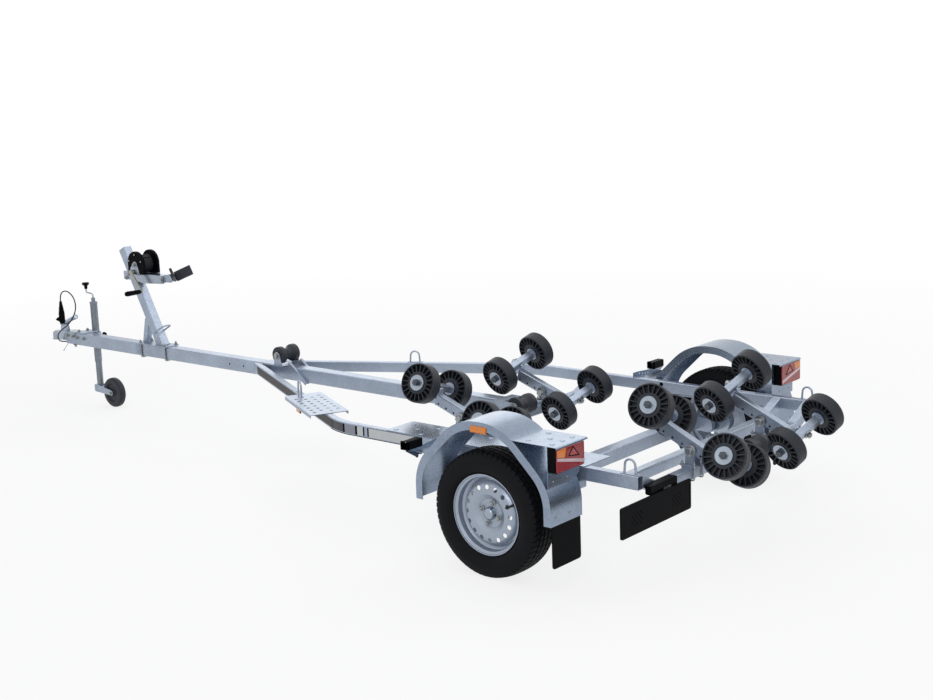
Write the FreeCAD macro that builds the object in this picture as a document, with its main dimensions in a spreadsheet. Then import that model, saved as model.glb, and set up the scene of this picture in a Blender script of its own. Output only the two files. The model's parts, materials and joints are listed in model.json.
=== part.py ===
import FreeCAD, Part
import math
import os
import re
import Sketcher

from FreeCAD import Rotation, Vector

# Boat trailer. X to the right, Y forward, Z up, millimetres.
# Everything is laid out from the wheel axle at y = 0 and the ground at z = 0, and each
# finished piece is then shifted by axle_y, so that the part's origin is the middle of its
# length on the ground.

DOC = FreeCAD.newDocument("boat_trailer")
SHEET = DOC.addObject("Spreadsheet::Sheet", "Sizes")

SIZES = {
    "axle_y": -1869,
    # drawbar, a square tube that runs back as the centre beam
    "bar_wide": 80,
    "bar_wall": 4,
    "bar_bottom": 430,
    "bar_front": 4500,
    "bar_rear": 650,
    "bar_middle": 470,
    "bolt_hole": 6,
    "hole_step": 125,
    # side rails
    "rail_wide": 40,
    "rail_high": 60,
    "rail_wall": 3,
    "rail_top": 505,
    "rail_gauge": 780,
    "rail_bend_y": 1120,
    "rail_join_y": 2560,
    "rail_rear": -640,
    "rail_bend_radius": 400,
    # trough-shaped cross-beams
    "beam_size": 50,
    "beam_wall": 3,
    "beam_top": 430,
    "beam_flat": 600,
    "beam_bend": 70,
    "front_beam_y": 690,
    "middle_beam_y": -430,
    "rear_beam_y": -600,
    "outrigger_size": 40,
    "outrigger_y": 330,
    # wheels and axle
    "wheel_x": 958,
    "tyre_radius": 286,
    "tyre_wide": 164,
    "tyre_bead": 170,
    "rim_flange": 182,
    "rim_wide": 128,
    "rim_bore": 29,
    "rim_sheet": 4,
    "stud_circle": 50,
    "stud_bore": 6.5,
    "stud_lead": 17,
    "vent_circle": 118,
    "vent_radius": 9,
    "hub_radius": 66,
    "hub_face": 940,
    "axle_size": 70,
    "axle_wall": 4,
    "axle_ahead": 78,
    "axle_height": 300,
    "axle_half": 800,
    "hanger_long": 150,
    "arm_thick": 30,
    "arm_boss": 42,
    "arm_eye": 34,
    "spindle": 17,
    # mudguards
    "guard_half": 376,
    "guard_foot": 305,
    "guard_shoulder": 465,
    "guard_shoulder_bend": 230,
    "guard_crown": 128,
    "guard_crown_bend": 290,
    "guard_top": 706,
    "guard_inner": 830,
    "guard_outer": 1050,
    "guard_sheet": 2,
    "guard_lip": 38,
    "step_height": 652,
    "step_front": -150,
    "step_rear": -412,
    "lamp_plate_y": -364,
    "stay_end": 980,
    "lamp_foot": 516,
    "front_lamp_high": 40,
    "grip_radius": 13,
    "grip_high": 3,
    "grip_step": 62,
    "grip_pitch": 80,
    "walk_inner": 605,
    "walk_front": 790,
    "walk_rear": -370,
    "stay_y": 430,
    "flap_bottom": 118,
    "flap_thick": 5,
    # lamps
    "lamp_wide": 198,
    "lamp_high": 112,
    "lamp_deep": 40,
    "lens_deep": 6,
    # number plate
    "plate_x": 707,
    "plate_y": -666,
    "plate_middle": 351,
    "plate_wide": 530,
    "plate_high": 134,
    "plate_x_hole": 150,
    # rail step
    "rail_step_y": 1480,
    "rail_step_wide": 200,
    "rail_step_long": 490,
    # jack wheel
    "jack_x": 95,
    "jack_y": 4345,
    "jack_tube": 24,
    "jack_inner": 21,
    "jack_wall": 2.5,
    "jack_foot": 299,
    "jack_head": 700,
    "jack_trail": 155,
    "jack_wheel": 100,
    "jack_wheel_wide": 50,
    "jack_pin": 8,
    "jack_pivot": 130,
    # coupling
    "coupling_y": 4645,
    "ball_height": 455,
    "ball_radius": 25.3,
    "lever_y": 4561,
    "lever_z": 560,
    "lever_long": 160,
    "lever_rise": 22,
    # winch post
    "post_size": 60,
    "post_wall": 3,
    "post_foot_y": 3497,
    "post_lean": 28,
    "post_long": 735,
    "winch_level": 945,
    "post_base": 300,
    "drum_back": 95,
    "drum_rise": 81,
    "drum_pin": 10,
    "strap_radius": 52,
    "pinion_back": 70,
    "pinion_rise": 33,
    "cheek_radius": 78,
    "cheek_x": 48,
    "cheek_wide": 16,
    "crank_long": 147,
    "crank_lean": 38,
    "stop_back": 387,
    "stop_rise": 44,
    "stop_long": 110,
    "stop_high": 62,
    "stop_thick": 16,
    "stop_turn": 50,
    "stop_lean": 30,
    # hoop
    "hoop_rise": 144,
    "hoop_long": 112,
    "hoop_rod": 5,
    # hull rollers
    "roller_radius": 98,
    "roller_wide": 66,
    "roller_gap": 290,
    "roller_bore": 10,
    "roller_ribs": 20,
    "rib_thick": 5,
    "rib_foot": 55,
    "rib_top": 91,
    "arm_half": 205,
    "arm_wide": 40,
    "arm_high": 60,
    "arm_wall": 3,
    "arm_hole_pitch": 52,
    "axis_rise": 70,
    "tube_rise": 15,
    "swivel_drop": 6,
    "swivel_pin": 8,
    "arm_pin": 10,
    "front_arm_x": 330,
    "front_arm_y": 704,
    "front_arm_z": 480,
    "front_arm_tilt": 20,
    "front_roll_tilt": 19,
    "rear_arm_x": 308,
    "rear_arm_y": -604,
    "rear_arm_z": 505,
    "rear_arm_tilt": 24.7,
    "rear_roll_tilt": 24.7,
    # keel rollers
    "keel_radius": 50,
    "keel_waist": 34,
    "keel_wide": 130,
    "keel_pin": 8,
    "keel_sheet": 5,
    "keel_flat": 12,
    "front_keel_y": 2343,
    "front_keel_z": 574,
    "middle_keel_y": 593,
    "middle_keel_z": 489,
    "rear_keel_y": -732,
    "rear_keel_z": 461,
    # lashing eyes
    "eye_y": 1745,
    # clearances
    "run_gap": 0.08,
    "side_gap": 1.5,
    "free_gap": 0.4,
    "seat_gap": 0.3,
}

for row, (alias, number) in enumerate(SIZES.items(), 1):
    SHEET.set("A%d" % row, alias)
    SHEET.set("B%d" % row, str(number))
    SHEET.setAlias("B%d" % row, alias)
DOC.recompute()

ALIASES = re.compile(r"\b(" + "|".join(SIZES) + r")\b")
PLANES = {
    "XY": Rotation(),
    "XZ": Rotation(Vector(1, 0, 0), Vector(0, 0, 1), Vector(0, -1, 0), "XYZ"),
    "YZ": Rotation(Vector(0, 1, 0), Vector(0, 0, 1), Vector(1, 0, 0), "XYZ"),
    "ZX": Rotation(Vector(0, 0, 1), Vector(1, 0, 0), Vector(0, 1, 0), "XYZ"),
}
TURNS = {"x": Rotation(Vector(0, 1, 0), 90), "y": Rotation(Vector(1, 0, 0), -90), "z": Rotation()}
NODES = []


def tied(formula):
    """A formula whose names point at the sheet."""
    return ALIASES.sub(r"Sizes.\1", str(formula))


def amount(formula):
    """The number that a formula gives."""
    return float(SHEET.evalExpression(tied(formula)))


def bind(thing, prop, formula):
    """Ties one property to a formula of named sizes."""
    thing.setExpression(prop, tied(formula))


def place(thing, x, y, z):
    """Ties the place of an object to three formulas."""
    for letter, formula in zip("xyz", (x, y, z)):
        bind(thing, "Placement.Base." + letter, formula)
    return thing


# Sketches

def fix_point(drawn, piece, spot, x, y):
    """Ties a sketch point's two coordinates to formulas."""
    for kind, formula in (("DistanceX", x), ("DistanceY", y)):
        index = drawn.addConstraint(Sketcher.Constraint(kind, -1, 1, piece, spot, amount(formula)))
        bind(drawn, "Constraints[%d]" % index, formula)


def fix_radius(drawn, piece, formula):
    """Ties the radius of a circle or an arc to a formula."""
    index = drawn.addConstraint(Sketcher.Constraint("Radius", piece, amount(formula)))
    bind(drawn, "Constraints[%d]" % index, formula)


def draw_bend(drawn, before, after, corner, spot, first_end, last_end):
    """An arc between two runs, with their crossing kept as a point."""
    back = (first_end - spot).normalize()
    ahead = (last_end - spot).normalize()
    radius = amount(corner[2])
    hub = spot + (back + ahead).normalize() * (radius / math.sin(back.getAngle(ahead) / 2))
    angles = [math.atan2(p.y - hub.y, p.x - hub.x) for p in (first_end, last_end)]
    leftward = (first_end - hub).cross(last_end - hub).z > 0
    first, last = (1, 2) if leftward else (2, 1)
    if not leftward:
        angles.reverse()
    arc = drawn.addGeometry(Part.ArcOfCircle(Part.Circle(hub, Vector(0, 0, 1), radius), *angles))
    drawn.addConstraint(Sketcher.Constraint("Tangent", before, 2, arc, first))
    drawn.addConstraint(Sketcher.Constraint("Tangent", arc, last, after, 1))
    fix_radius(drawn, arc, corner[2])
    point = drawn.addGeometry(Part.Point(spot), True)
    for run in (before, after):
        drawn.addConstraint(Sketcher.Constraint("PointOnObject", point, 1, run))
    fix_point(drawn, point, 1, *corner[:2])


def draw_runs(drawn, corners, closed):
    """Straight runs through corners. A corner's third value is the radius of its bend."""
    spots = [Vector(amount(c[0]), amount(c[1]), 0) for c in corners]
    count = len(corners)
    starts, ends = list(spots), list(spots)
    for i, corner in enumerate(corners):
        if len(corner) > 2:
            back = (spots[i - 1] - spots[i]).normalize()
            ahead = (spots[(i + 1) % count] - spots[i]).normalize()
            reach = amount(corner[2]) / math.tan(back.getAngle(ahead) / 2)
            ends[i] = spots[i] + back * reach
            starts[i] = spots[i] + ahead * reach
    runs = count if closed else count - 1
    lines = [drawn.addGeometry(Part.LineSegment(starts[i], ends[(i + 1) % count])) for i in range(runs)]
    for i, corner in enumerate(corners):
        before = lines[i - 1] if closed or i > 0 else None
        after = lines[i] if i < runs else None
        if len(corner) > 2:
            draw_bend(drawn, before, after, corner, spots[i], ends[i], starts[i])
        elif after is None:
            fix_point(drawn, before, 2, *corner)
        else:
            if before is not None:
                drawn.addConstraint(Sketcher.Constraint("Coincident", before, 2, after, 1))
            fix_point(drawn, after, 1, *corner)


def sketch(name, plane, loops=(), holes=(), body=None, closed=True):
    """A drawing on a plane through the origin: loops of corners, and round holes."""
    drawn = (body.newObject if body else DOC.addObject)("Sketcher::SketchObject", name)
    if body:
        side = next(o for o in body.Origin.OriginFeatures if o.Role == plane + "_Plane")
        drawn.AttachmentSupport = (side, [""])
        drawn.MapMode = "FlatFace"
    else:
        drawn.Placement = FreeCAD.Placement(Vector(), PLANES[plane])
    for corners in loops:
        draw_runs(drawn, corners, closed)
    for x, y, radius in holes:
        circle = drawn.addGeometry(Part.Circle(Vector(amount(x), amount(y), 0), Vector(0, 0, 1),
                                               amount(radius)))
        fix_point(drawn, circle, 3, x, y)
        fix_radius(drawn, circle, radius)
    return drawn


def both_ways(side):
    """A half outline with its mirror image about the middle."""
    return side + [("-(%s)" % corner[0],) + corner[1:] for corner in reversed(side)]


def oblong(wide, high, bend=None, x="0", y="0"):
    """The corners of a rectangle about a point, rounded if a bend is given."""
    corners = [("(%s) %s (%s) / 2" % (x, a, wide), "(%s) %s (%s) / 2" % (y, b, high))
               for a, b in ("--", "+-", "++", "-+")]
    return [c + (bend,) for c in corners] if bend else corners


# Solids

def block(name, wide, deep, high, x, y, z):
    """A box with its middle at x and y that stands on z."""
    box = DOC.addObject("Part::Box", name)
    bind(box, "Length", wide)
    bind(box, "Width", deep)
    bind(box, "Height", high)
    return place(box, "(%s) - (%s) / 2" % (x, wide), "(%s) - (%s) / 2" % (y, deep), z)


def rod(name, radius, length, x, y, z, axis="z"):
    """A cylinder that starts at a point and runs along +x, +y or +z."""
    bar = DOC.addObject("Part::Cylinder", name)
    bind(bar, "Radius", radius)
    bind(bar, "Height", length)
    bar.Placement = FreeCAD.Placement(Vector(), TURNS[axis])
    return place(bar, x, y, z)


def extruded(name, plane, loops, depth, x="0", y="0", z="0", holes=()):
    """Loops pushed out along the plane's normal: +z of XY, -y of XZ, +x of YZ."""
    solid = DOC.addObject("Part::Extrusion", name)
    solid.Base = sketch(name + "Sketch", plane, loops, holes)
    solid.DirMode = "Normal"
    solid.FaceMakerClass = "Part::FaceMakerBullseye"
    solid.Solid = True
    bind(solid, "LengthFwd", depth)
    return place(solid, x, y, z)


def turned(name, corners, axis="x", x="0", y="0", z="0"):
    """A solid of revolution about an axis. Its corners are pairs of distance along and radius."""
    solid = DOC.addObject("Part::Revolution", name)
    solid.Source = sketch(name + "Section", {"x": "XZ", "y": "YZ", "z": "ZX"}[axis], [corners])
    solid.Axis = {"x": Vector(1, 0, 0), "y": Vector(0, 1, 0), "z": Vector(0, 0, 1)}[axis]
    solid.Base = Vector()
    solid.Angle = 360
    solid.Solid = True
    return place(solid, x, y, z)


def carried(name, section_plane, corners, path):
    """A section carried along a sketched path that starts square to it at the origin."""
    sweep = DOC.addObject("Part::Sweep", name)
    sweep.Sections = [sketch(name + "Section", section_plane, [corners])]
    sweep.Spine = (path, ["Edge%d" % (i + 1) for i in range(len(path.Shape.Edges))])
    sweep.Solid = True
    sweep.Frenet = False
    return sweep


def fuse(name, pieces):
    """Joins pieces into one."""
    joined = DOC.addObject("Part::MultiFuse", name)
    joined.Shapes = pieces
    joined.Refine = True
    return joined


def cut(name, base, tools):
    """Takes one or more tools out of a base."""
    result = DOC.addObject("Part::Cut", name)
    result.Base = base
    result.Tool = tools[0] if len(tools) == 1 else fuse(name + "Tools", tools)
    result.Refine = True
    return result


def mirrored(name, source):
    """The same piece on the other side of the trailer."""
    copy = DOC.addObject("Part::Mirroring", name)
    copy.Source = source
    copy.Normal = Vector(1, 0, 0)
    return copy


def moved(name, pieces, x="0", y="0", z="0", about=None, angle="0"):
    """Pieces kept together, turned about an axis through the origin and then shifted."""
    together = DOC.addObject("Part::Compound", name)
    together.Links = pieces
    if about:
        together.Placement = FreeCAD.Placement(Vector(), Rotation(Vector(*about), 1))
        bind(together, "Placement.Rotation.Angle", angle)
    return place(together, x, y, z)


def pair(name, right):
    """A piece and its mirror image."""
    return [right, mirrored(name + "Left", right)]


def node(label, pieces, shift=True, **where):
    """Names a finished sub-part and shifts it from the axle to the part's origin."""
    y = where.pop("y", "0")
    thing = moved(label, pieces, y="axle_y + (%s)" % y if shift else y, **where)
    thing.Label = label
    NODES.append(thing)
    return thing


def arc_path(points, radii):
    """Straight runs joined by tangent arcs, as one wire."""
    edges = []
    start = points[0]
    for before, corner, after, radius in zip(points, points[1:], points[2:], radii):
        back = (before - corner).normalize()
        ahead = (after - corner).normalize()
        half = back.getAngle(ahead) / 2
        reach = radius / math.tan(half)
        middle = corner + (back + ahead).normalize() * (radius / math.sin(half) - radius)
        edges.append(Part.LineSegment(start, corner + back * reach).toShape())
        edges.append(Part.Arc(corner + back * reach, middle, corner + ahead * reach).toShape())
        start = corner + ahead * reach
    edges.append(Part.LineSegment(start, points[-1]).toShape())
    return Part.Wire(edges)


def cord(name, points, radii, radius):
    """A round cord along straight runs and arcs."""
    path = arc_path(points, radii)
    ring = Part.Wire(Part.makeCircle(radius, points[0], points[1] - points[0]))
    solid = path.makePipeShell([ring], True, False)
    print("%s %.0f long, volume ratio %.4f, radii %s" % (
        name, path.Length, solid.Volume / path.Length / math.pi / radius ** 2, [round(r) for r in radii]))
    thing = DOC.addObject("Part::Feature", name + "_run")
    thing.Shape = solid
    return thing


def ball(name, radius, x, y, z):
    """A sphere about a point."""
    globe = DOC.addObject("Part::Sphere", name)
    bind(globe, "Radius", radius)
    return place(globe, x, y, z)


def lofted(name, sections):
    """A skin over rounded rectangles (wide, high, bend, y, z) set one behind the other along y."""
    solid = DOC.addObject("Part::Loft", name)
    solid.Sections = [place(sketch("%s%d" % (name, i), "XZ", [oblong(wide, high, bend)]), "0", y, z)
                      for i, (wide, high, bend, y, z) in enumerate(sections)]
    solid.Solid = True
    solid.Ruled = True
    return solid


def bent_rod(name, radius, plane, section_plane, corners, x, y, z):
    """A round rod along a sketched line that starts at the origin, square to the section's plane."""
    path = sketch(name + "Line", plane, [corners], closed=False)
    DOC.recompute()
    sweep = DOC.addObject("Part::Sweep", name)
    sweep.Sections = [sketch(name + "Ring", section_plane, holes=[("0", "0", radius)])]
    sweep.Spine = (path, ["Edge%d" % (i + 1) for i in range(len(path.Shape.Edges))])
    sweep.Solid = True
    return moved(name + "Placed", [sweep], x, y, z)


def tube(name, plane, wide, high, wall, depth, **where):
    """A rectangular tube with rounded edges, open at both ends."""
    return extruded(name, plane, [oblong(wide, high, "2 * (%s)" % wall),
                                  oblong("(%s) - 2 * (%s)" % (wide, wall),
                                         "(%s) - 2 * (%s)" % (high, wall), wall)],
                    depth, **where)


# Chassis: drawbar, rails and cross-beams

def make_drawbar():
    """Square tube, open at both ends, with two spare holes in its side."""
    bar = tube("Bar", "XZ", "bar_wide", "bar_wide", "bar_wall", "bar_front - bar_rear", y="bar_front",
               z="bar_middle")
    holes = [rod("BarHole%d" % i, "bolt_hole", "bar_wide + 2", "-bar_wide / 2 - 1", y, "bar_middle", "x")
             for i, y in enumerate(("rail_join_y + hole_step", "rail_join_y + 2 * hole_step"))]
    node("drawbar", [cut("Drawbar", bar, holes)])


def make_rails():
    """Side rails: straight from the rear, bent, then splayed in to the drawbar."""
    run = "(rail_bend_y - rail_rear)"
    join_x = "(bar_wide / 2 - rail_gauge)"
    path = sketch("RailLine", "XY", [[("0", "0"), ("0", run, "rail_bend_radius"),
                                      (join_x, "rail_join_y - rail_rear")]], closed=False)
    DOC.recompute()
    outside = carried("RailOutside", "XZ", oblong("rail_wide", "rail_high", "2 * rail_wall"), path)
    inside = carried("RailInside", "XZ", oblong("rail_wide - 2 * rail_wall", "rail_high - 2 * rail_wall",
                                                "rail_wall"), path)
    rail = moved("RailTube", [cut("RailHollow", outside, [inside])], "rail_gauge", "rail_rear",
                 "rail_top - rail_high / 2")
    bar = block("RailTrim", "bar_wide", "4 * rail_high", "bar_wide", "0", "rail_join_y", "bar_bottom")
    node("side_rails", pair("Rail", cut("Rail", rail, [bar])))


def make_beams():
    """Three cross-beams that dip between the rails, and four short outriggers outside them."""
    half = "(rail_gauge - rail_wide / 2)"
    path = sketch("BeamLine", "XZ", [[("0", "0"), ("beam_flat", "0", "beam_bend"),
                                      (half + " + beam_size",
                                       "(rail_top - beam_top - 4) * (%s + beam_size - beam_flat)"
                                       " / (%s - beam_flat)" % (half, half))]], closed=False)
    DOC.recompute()
    outside = carried("BeamOutside", "YZ", oblong("beam_size", "beam_size", "2 * beam_wall"), path)
    inside = carried("BeamInside", "YZ", oblong("beam_size - 2 * beam_wall", "beam_size - 2 * beam_wall",
                                                "beam_wall"), path)
    trim = block("BeamTrim", "2 * beam_size", "2 * beam_size", "6 * beam_size", half + " + beam_size", "0",
                 "-3 * beam_size")
    right = cut("BeamRight", cut("BeamHollow", outside, [inside]), [trim])
    beam = fuse("Beam", pair("BeamHalf", right))
    pieces = [moved("Beam%d" % i, [beam], "0", y, "beam_top - beam_size / 2")
              for i, y in enumerate(("front_beam_y", "middle_beam_y", "rear_beam_y"))]
    arm = tube("Outrigger", "YZ", "outrigger_size", "outrigger_size", "rail_wall", "guard_inner - " + half)
    for i, y in enumerate(("outrigger_y", "-outrigger_y")):
        pieces += pair("Outrigger%d" % i, moved("OutriggerAt%d" % i, [arm], half, y,
                                                "rail_top - rail_high - outrigger_size / 2"))
    node("cross_beams", pieces)


# Axle and wheels

def make_axle():
    """Square axle tube on two plate hangers, with a swing arm and spindle each side."""
    beam = tube("AxleTube", "YZ", "axle_size", "axle_size", "axle_wall", "2 * axle_half", x="-axle_half",
                y="axle_ahead", z="axle_height")
    low, high = "0", "(rail_top - rail_high - axle_height - axle_size / 2)"
    edge = "hanger_long / 2"
    hanger = extruded("Hanger", "YZ", [
        [("-axle_size / 2", low), ("axle_size / 2", low), (edge, high), ("-" + edge, high)],
        [("-axle_size / 2 + 12", low + " + 6", "5"), ("axle_size / 2 - 12", low + " + 6", "5"),
         (edge + " - 14", high + " - 6", "5"), ("14 - " + edge, high + " - 6", "5")]],
        "rail_wide", x="rail_gauge - rail_wide / 2", y="axle_ahead", z="axle_height + axle_size / 2")
    node("axle_tube", [fuse("Axle", [beam] + pair("HangerSide", hanger))])
    lift = "(axle_height - tyre_radius)"
    web = extruded("ArmWeb", "YZ", [[("-arm_eye", "-arm_eye", "arm_eye - 6"),
                                     ("axle_ahead + arm_boss", lift + " - arm_boss", "arm_boss - 8"),
                                     ("axle_ahead + arm_boss", lift + " + arm_boss", "arm_boss - 8"),
                                     ("-arm_eye", "arm_eye", "arm_eye - 6")]],
                   "arm_thick", x="axle_half", z="tyre_radius")
    spindle = turned("Spindle", [("axle_half", "0"), ("axle_half", "spindle + 9"),
                                 ("axle_half + arm_thick + 14", "spindle + 9"),
                                 ("axle_half + arm_thick + 14", "spindle"), ("hub_face + 12", "spindle"),
                                 ("hub_face + 12", "0")], z="tyre_radius")
    node("swing_arms", pair("SwingArm", fuse("SwingArm", [web, spindle])))


def make_hub():
    """Turned hub with its bolt flange and grease cap, bored for the spindle."""
    inner, bore = "axle_half + arm_thick + 14 + side_gap", "spindle + run_gap"
    return turned("Hub", [
        (inner, bore), (inner, "42"), ("hub_face - 14", "44"), ("hub_face - 14", "hub_radius"),
        ("hub_face", "hub_radius"), ("hub_face", "rim_bore - 1"), ("hub_face + 30", "rim_bore - 3"),
        ("hub_face + 36", "rim_bore - 10"), ("hub_face + 36", "0"), ("hub_face + 14", "0"),
        ("hub_face + 14", bore)], z="tyre_radius")


def spun_body(name, loops):
    """A body turned about its own x axis from sketched sections."""
    body = DOC.addObject("PartDesign::Body", name)
    section = sketch(name + "Section", "XZ", loops, body=body)
    spin = body.newObject("PartDesign::Revolution", name + "Spin")
    spin.Profile = section
    spin.ReferenceAxis = (section, ["H_Axis"])
    spin.Angle = 360
    section.Visibility = False
    return body


def ring_of_holes(body, name, distance, radius, count, lead):
    """Round holes through a spun body, set evenly about its axis. The first is lead degrees round."""
    spot = ("(%s) * cos(%s)" % (distance, lead), "(%s) * sin(%s)" % (distance, lead), radius)
    round_hole = sketch(name + "Hole", "YZ", holes=[spot], body=body)
    hole = body.newObject("PartDesign::Pocket", name)
    hole.Profile = round_hole
    hole.Type = "ThroughAll"
    hole.SideType = "Symmetric"
    repeat = body.newObject("PartDesign::PolarPattern", name + "Ring")
    repeat.Originals = [hole]
    repeat.Axis = (round_hole, ["N_Axis"])
    repeat.Angle = 360
    repeat.Occurrences = count
    body.Tip = repeat


def make_rim():
    """Pressed steel wheel about the origin: well, flanges, dished disc, stud holes and round vents."""
    half, face, foot = "rim_wide / 2", "(hub_face - wheel_x)", "(tyre_bead - seat_gap - 18)"
    bead = "(tyre_bead - seat_gap)"
    outer = [("-" + half, "rim_flange"), ("-%s + 6" % half, "rim_flange"), ("-%s + 12" % half, bead, "5"),
             ("-%s + 30" % half, bead, "5"), ("-%s + 38" % half, foot, "5"), (half + " - 50", foot, "5"),
             (half + " - 40", bead, "5"), (half + " - 12", bead, "5"), (half + " - 6", "rim_flange"),
             (half, "rim_flange")]
    inner = [(corner[0], corner[1] + " - rim_sheet") + corner[2:] for corner in reversed(outer)]
    rim = spun_body("RimRing", [outer + inner])
    front = [(face + " + 5", "rim_bore"), (face + " + 5", "72", "8"), (face + " + 26", "88", "8"),
             (face + " + 30", "110", "14"), (face + " + 22", "136", "14"),
             (half + " - 46", foot + " - rim_sheet + 1")]
    back = [(corner[0] + " - 5", corner[1]) + corner[2:] for corner in reversed(front)]
    disc = spun_body("RimDisc", [front + back])
    ring_of_holes(disc, "Studs", "stud_circle", "stud_bore", 4, "stud_lead")
    ring_of_holes(disc, "Vents", "vent_circle", "vent_radius", 15, "6")
    return fuse("Rim", [rim, disc])


def make_tyre():
    """Road tyre about the origin: a closed ring with rounded shoulders and a raised band on the wall."""
    half = "tyre_wide / 2"
    side = [("rim_wide / 2 - 14", "tyre_bead"), ("rim_wide / 2 - 9", "rim_flange + 1", "4"),
            (half + " - 3", "rim_flange + 24", "18"), (half, "232", "30"), (half + " - 4", "258", "24"),
            (half + " - 14", "tyre_radius - 7", "12"), (half + " - 34", "tyre_radius", "60")]
    return spun_body("Tyre", [both_ways(side)])


def make_wheels():
    """Hub, rim and tyre on each side."""
    for name, thing in (("rim", moved("RimAt", [make_rim()], "wheel_x", "0", "tyre_radius")),
                        ("tyre", moved("TyreAt", [make_tyre()], "wheel_x", "0", "tyre_radius")),
                        ("hub", make_hub())):
        right, left = pair(name + "Side", thing)
        node(name + "_right", [right])
        node(name + "_left", [left])


# Mudguards, plates and lamps

def arch(inset):
    """The mudguard's arch as a closed outline, set in by a distance from its outer skin."""
    lean = "atan((guard_half - guard_crown) / (guard_top - guard_shoulder))"
    wide, top = "(guard_half - %s)" % inset, "(guard_top - %s)" % inset
    shoulder = "(guard_shoulder - %s * tan(%s / 2))" % (inset, lean)
    crown = "(guard_crown - %s * tan((90 deg - %s) / 2))" % (inset, lean)
    right = [(wide, "guard_foot"), (wide, shoulder, "guard_shoulder_bend - " + inset),
             (crown, top, "guard_crown_bend - " + inset)]
    return both_ways(right)


def arch_solid(name, inset, start, depth):
    """The arch pushed across the trailer."""
    return extruded(name, "YZ", [arch(inset)], depth, x=start)


def make_guards():
    """Mudguards: an arched skin with a turned-in lip along both edges."""
    wide = "(guard_outer - guard_inner)"
    hood = cut("GuardHood", arch_solid("GuardSkin", "0", "guard_inner", wide),
               [arch_solid("GuardHollow", "guard_sheet", "guard_inner + guard_sheet",
                           wide + " - 2 * guard_sheet"),
                arch_solid("GuardMouth", "guard_lip", "guard_inner - 1", wide + " + 2"),
                block("GuardFoot", wide + " - 2 * guard_sheet", "2 * (guard_half - guard_sheet)", "2",
                      "guard_inner + (%s) / 2" % wide, "0", "guard_foot - 1")])
    node("mudguards", pair("Guard", hood))
    flap = extruded("Flap", "XZ", [[("-" + w, "flap_bottom", "14"), (w, "flap_bottom", "14"),
                                    (w, "guard_foot + 45"), ("-" + w, "guard_foot + 45")]
                                   for w in ("(%s / 2 - 11)" % wide,)],
                    "flap_thick", x="(guard_inner + guard_outer) / 2",
                    y="-guard_half + guard_sheet + flap_thick")
    node("mudflaps", pair("Flap", flap))


def studded(name, sheet, spots, z):
    """A plate with raised round grips pressed up through it."""
    grip = turned(name + "Grip", [("-1", "0"), ("-1", "grip_radius"), ("0", "grip_radius"),
                                  ("grip_high", "grip_radius - 4"), ("grip_high", "0")], "z")
    grips = [moved("%sGrip%d" % (name, i), [grip], x, y, z) for i, (x, y) in enumerate(spots)]
    return fuse(name + "Studded", [sheet] + grips)


def staggered(first, columns, rows):
    """Places in a grid that steps outward and back, with every second one left out."""
    return [("%s - grip_step * %d" % (first[0], column), "%s - grip_pitch * %d" % (first[1], row))
            for row in range(rows) for column in range(columns) if (row + column) % 2 == 0]


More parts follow.
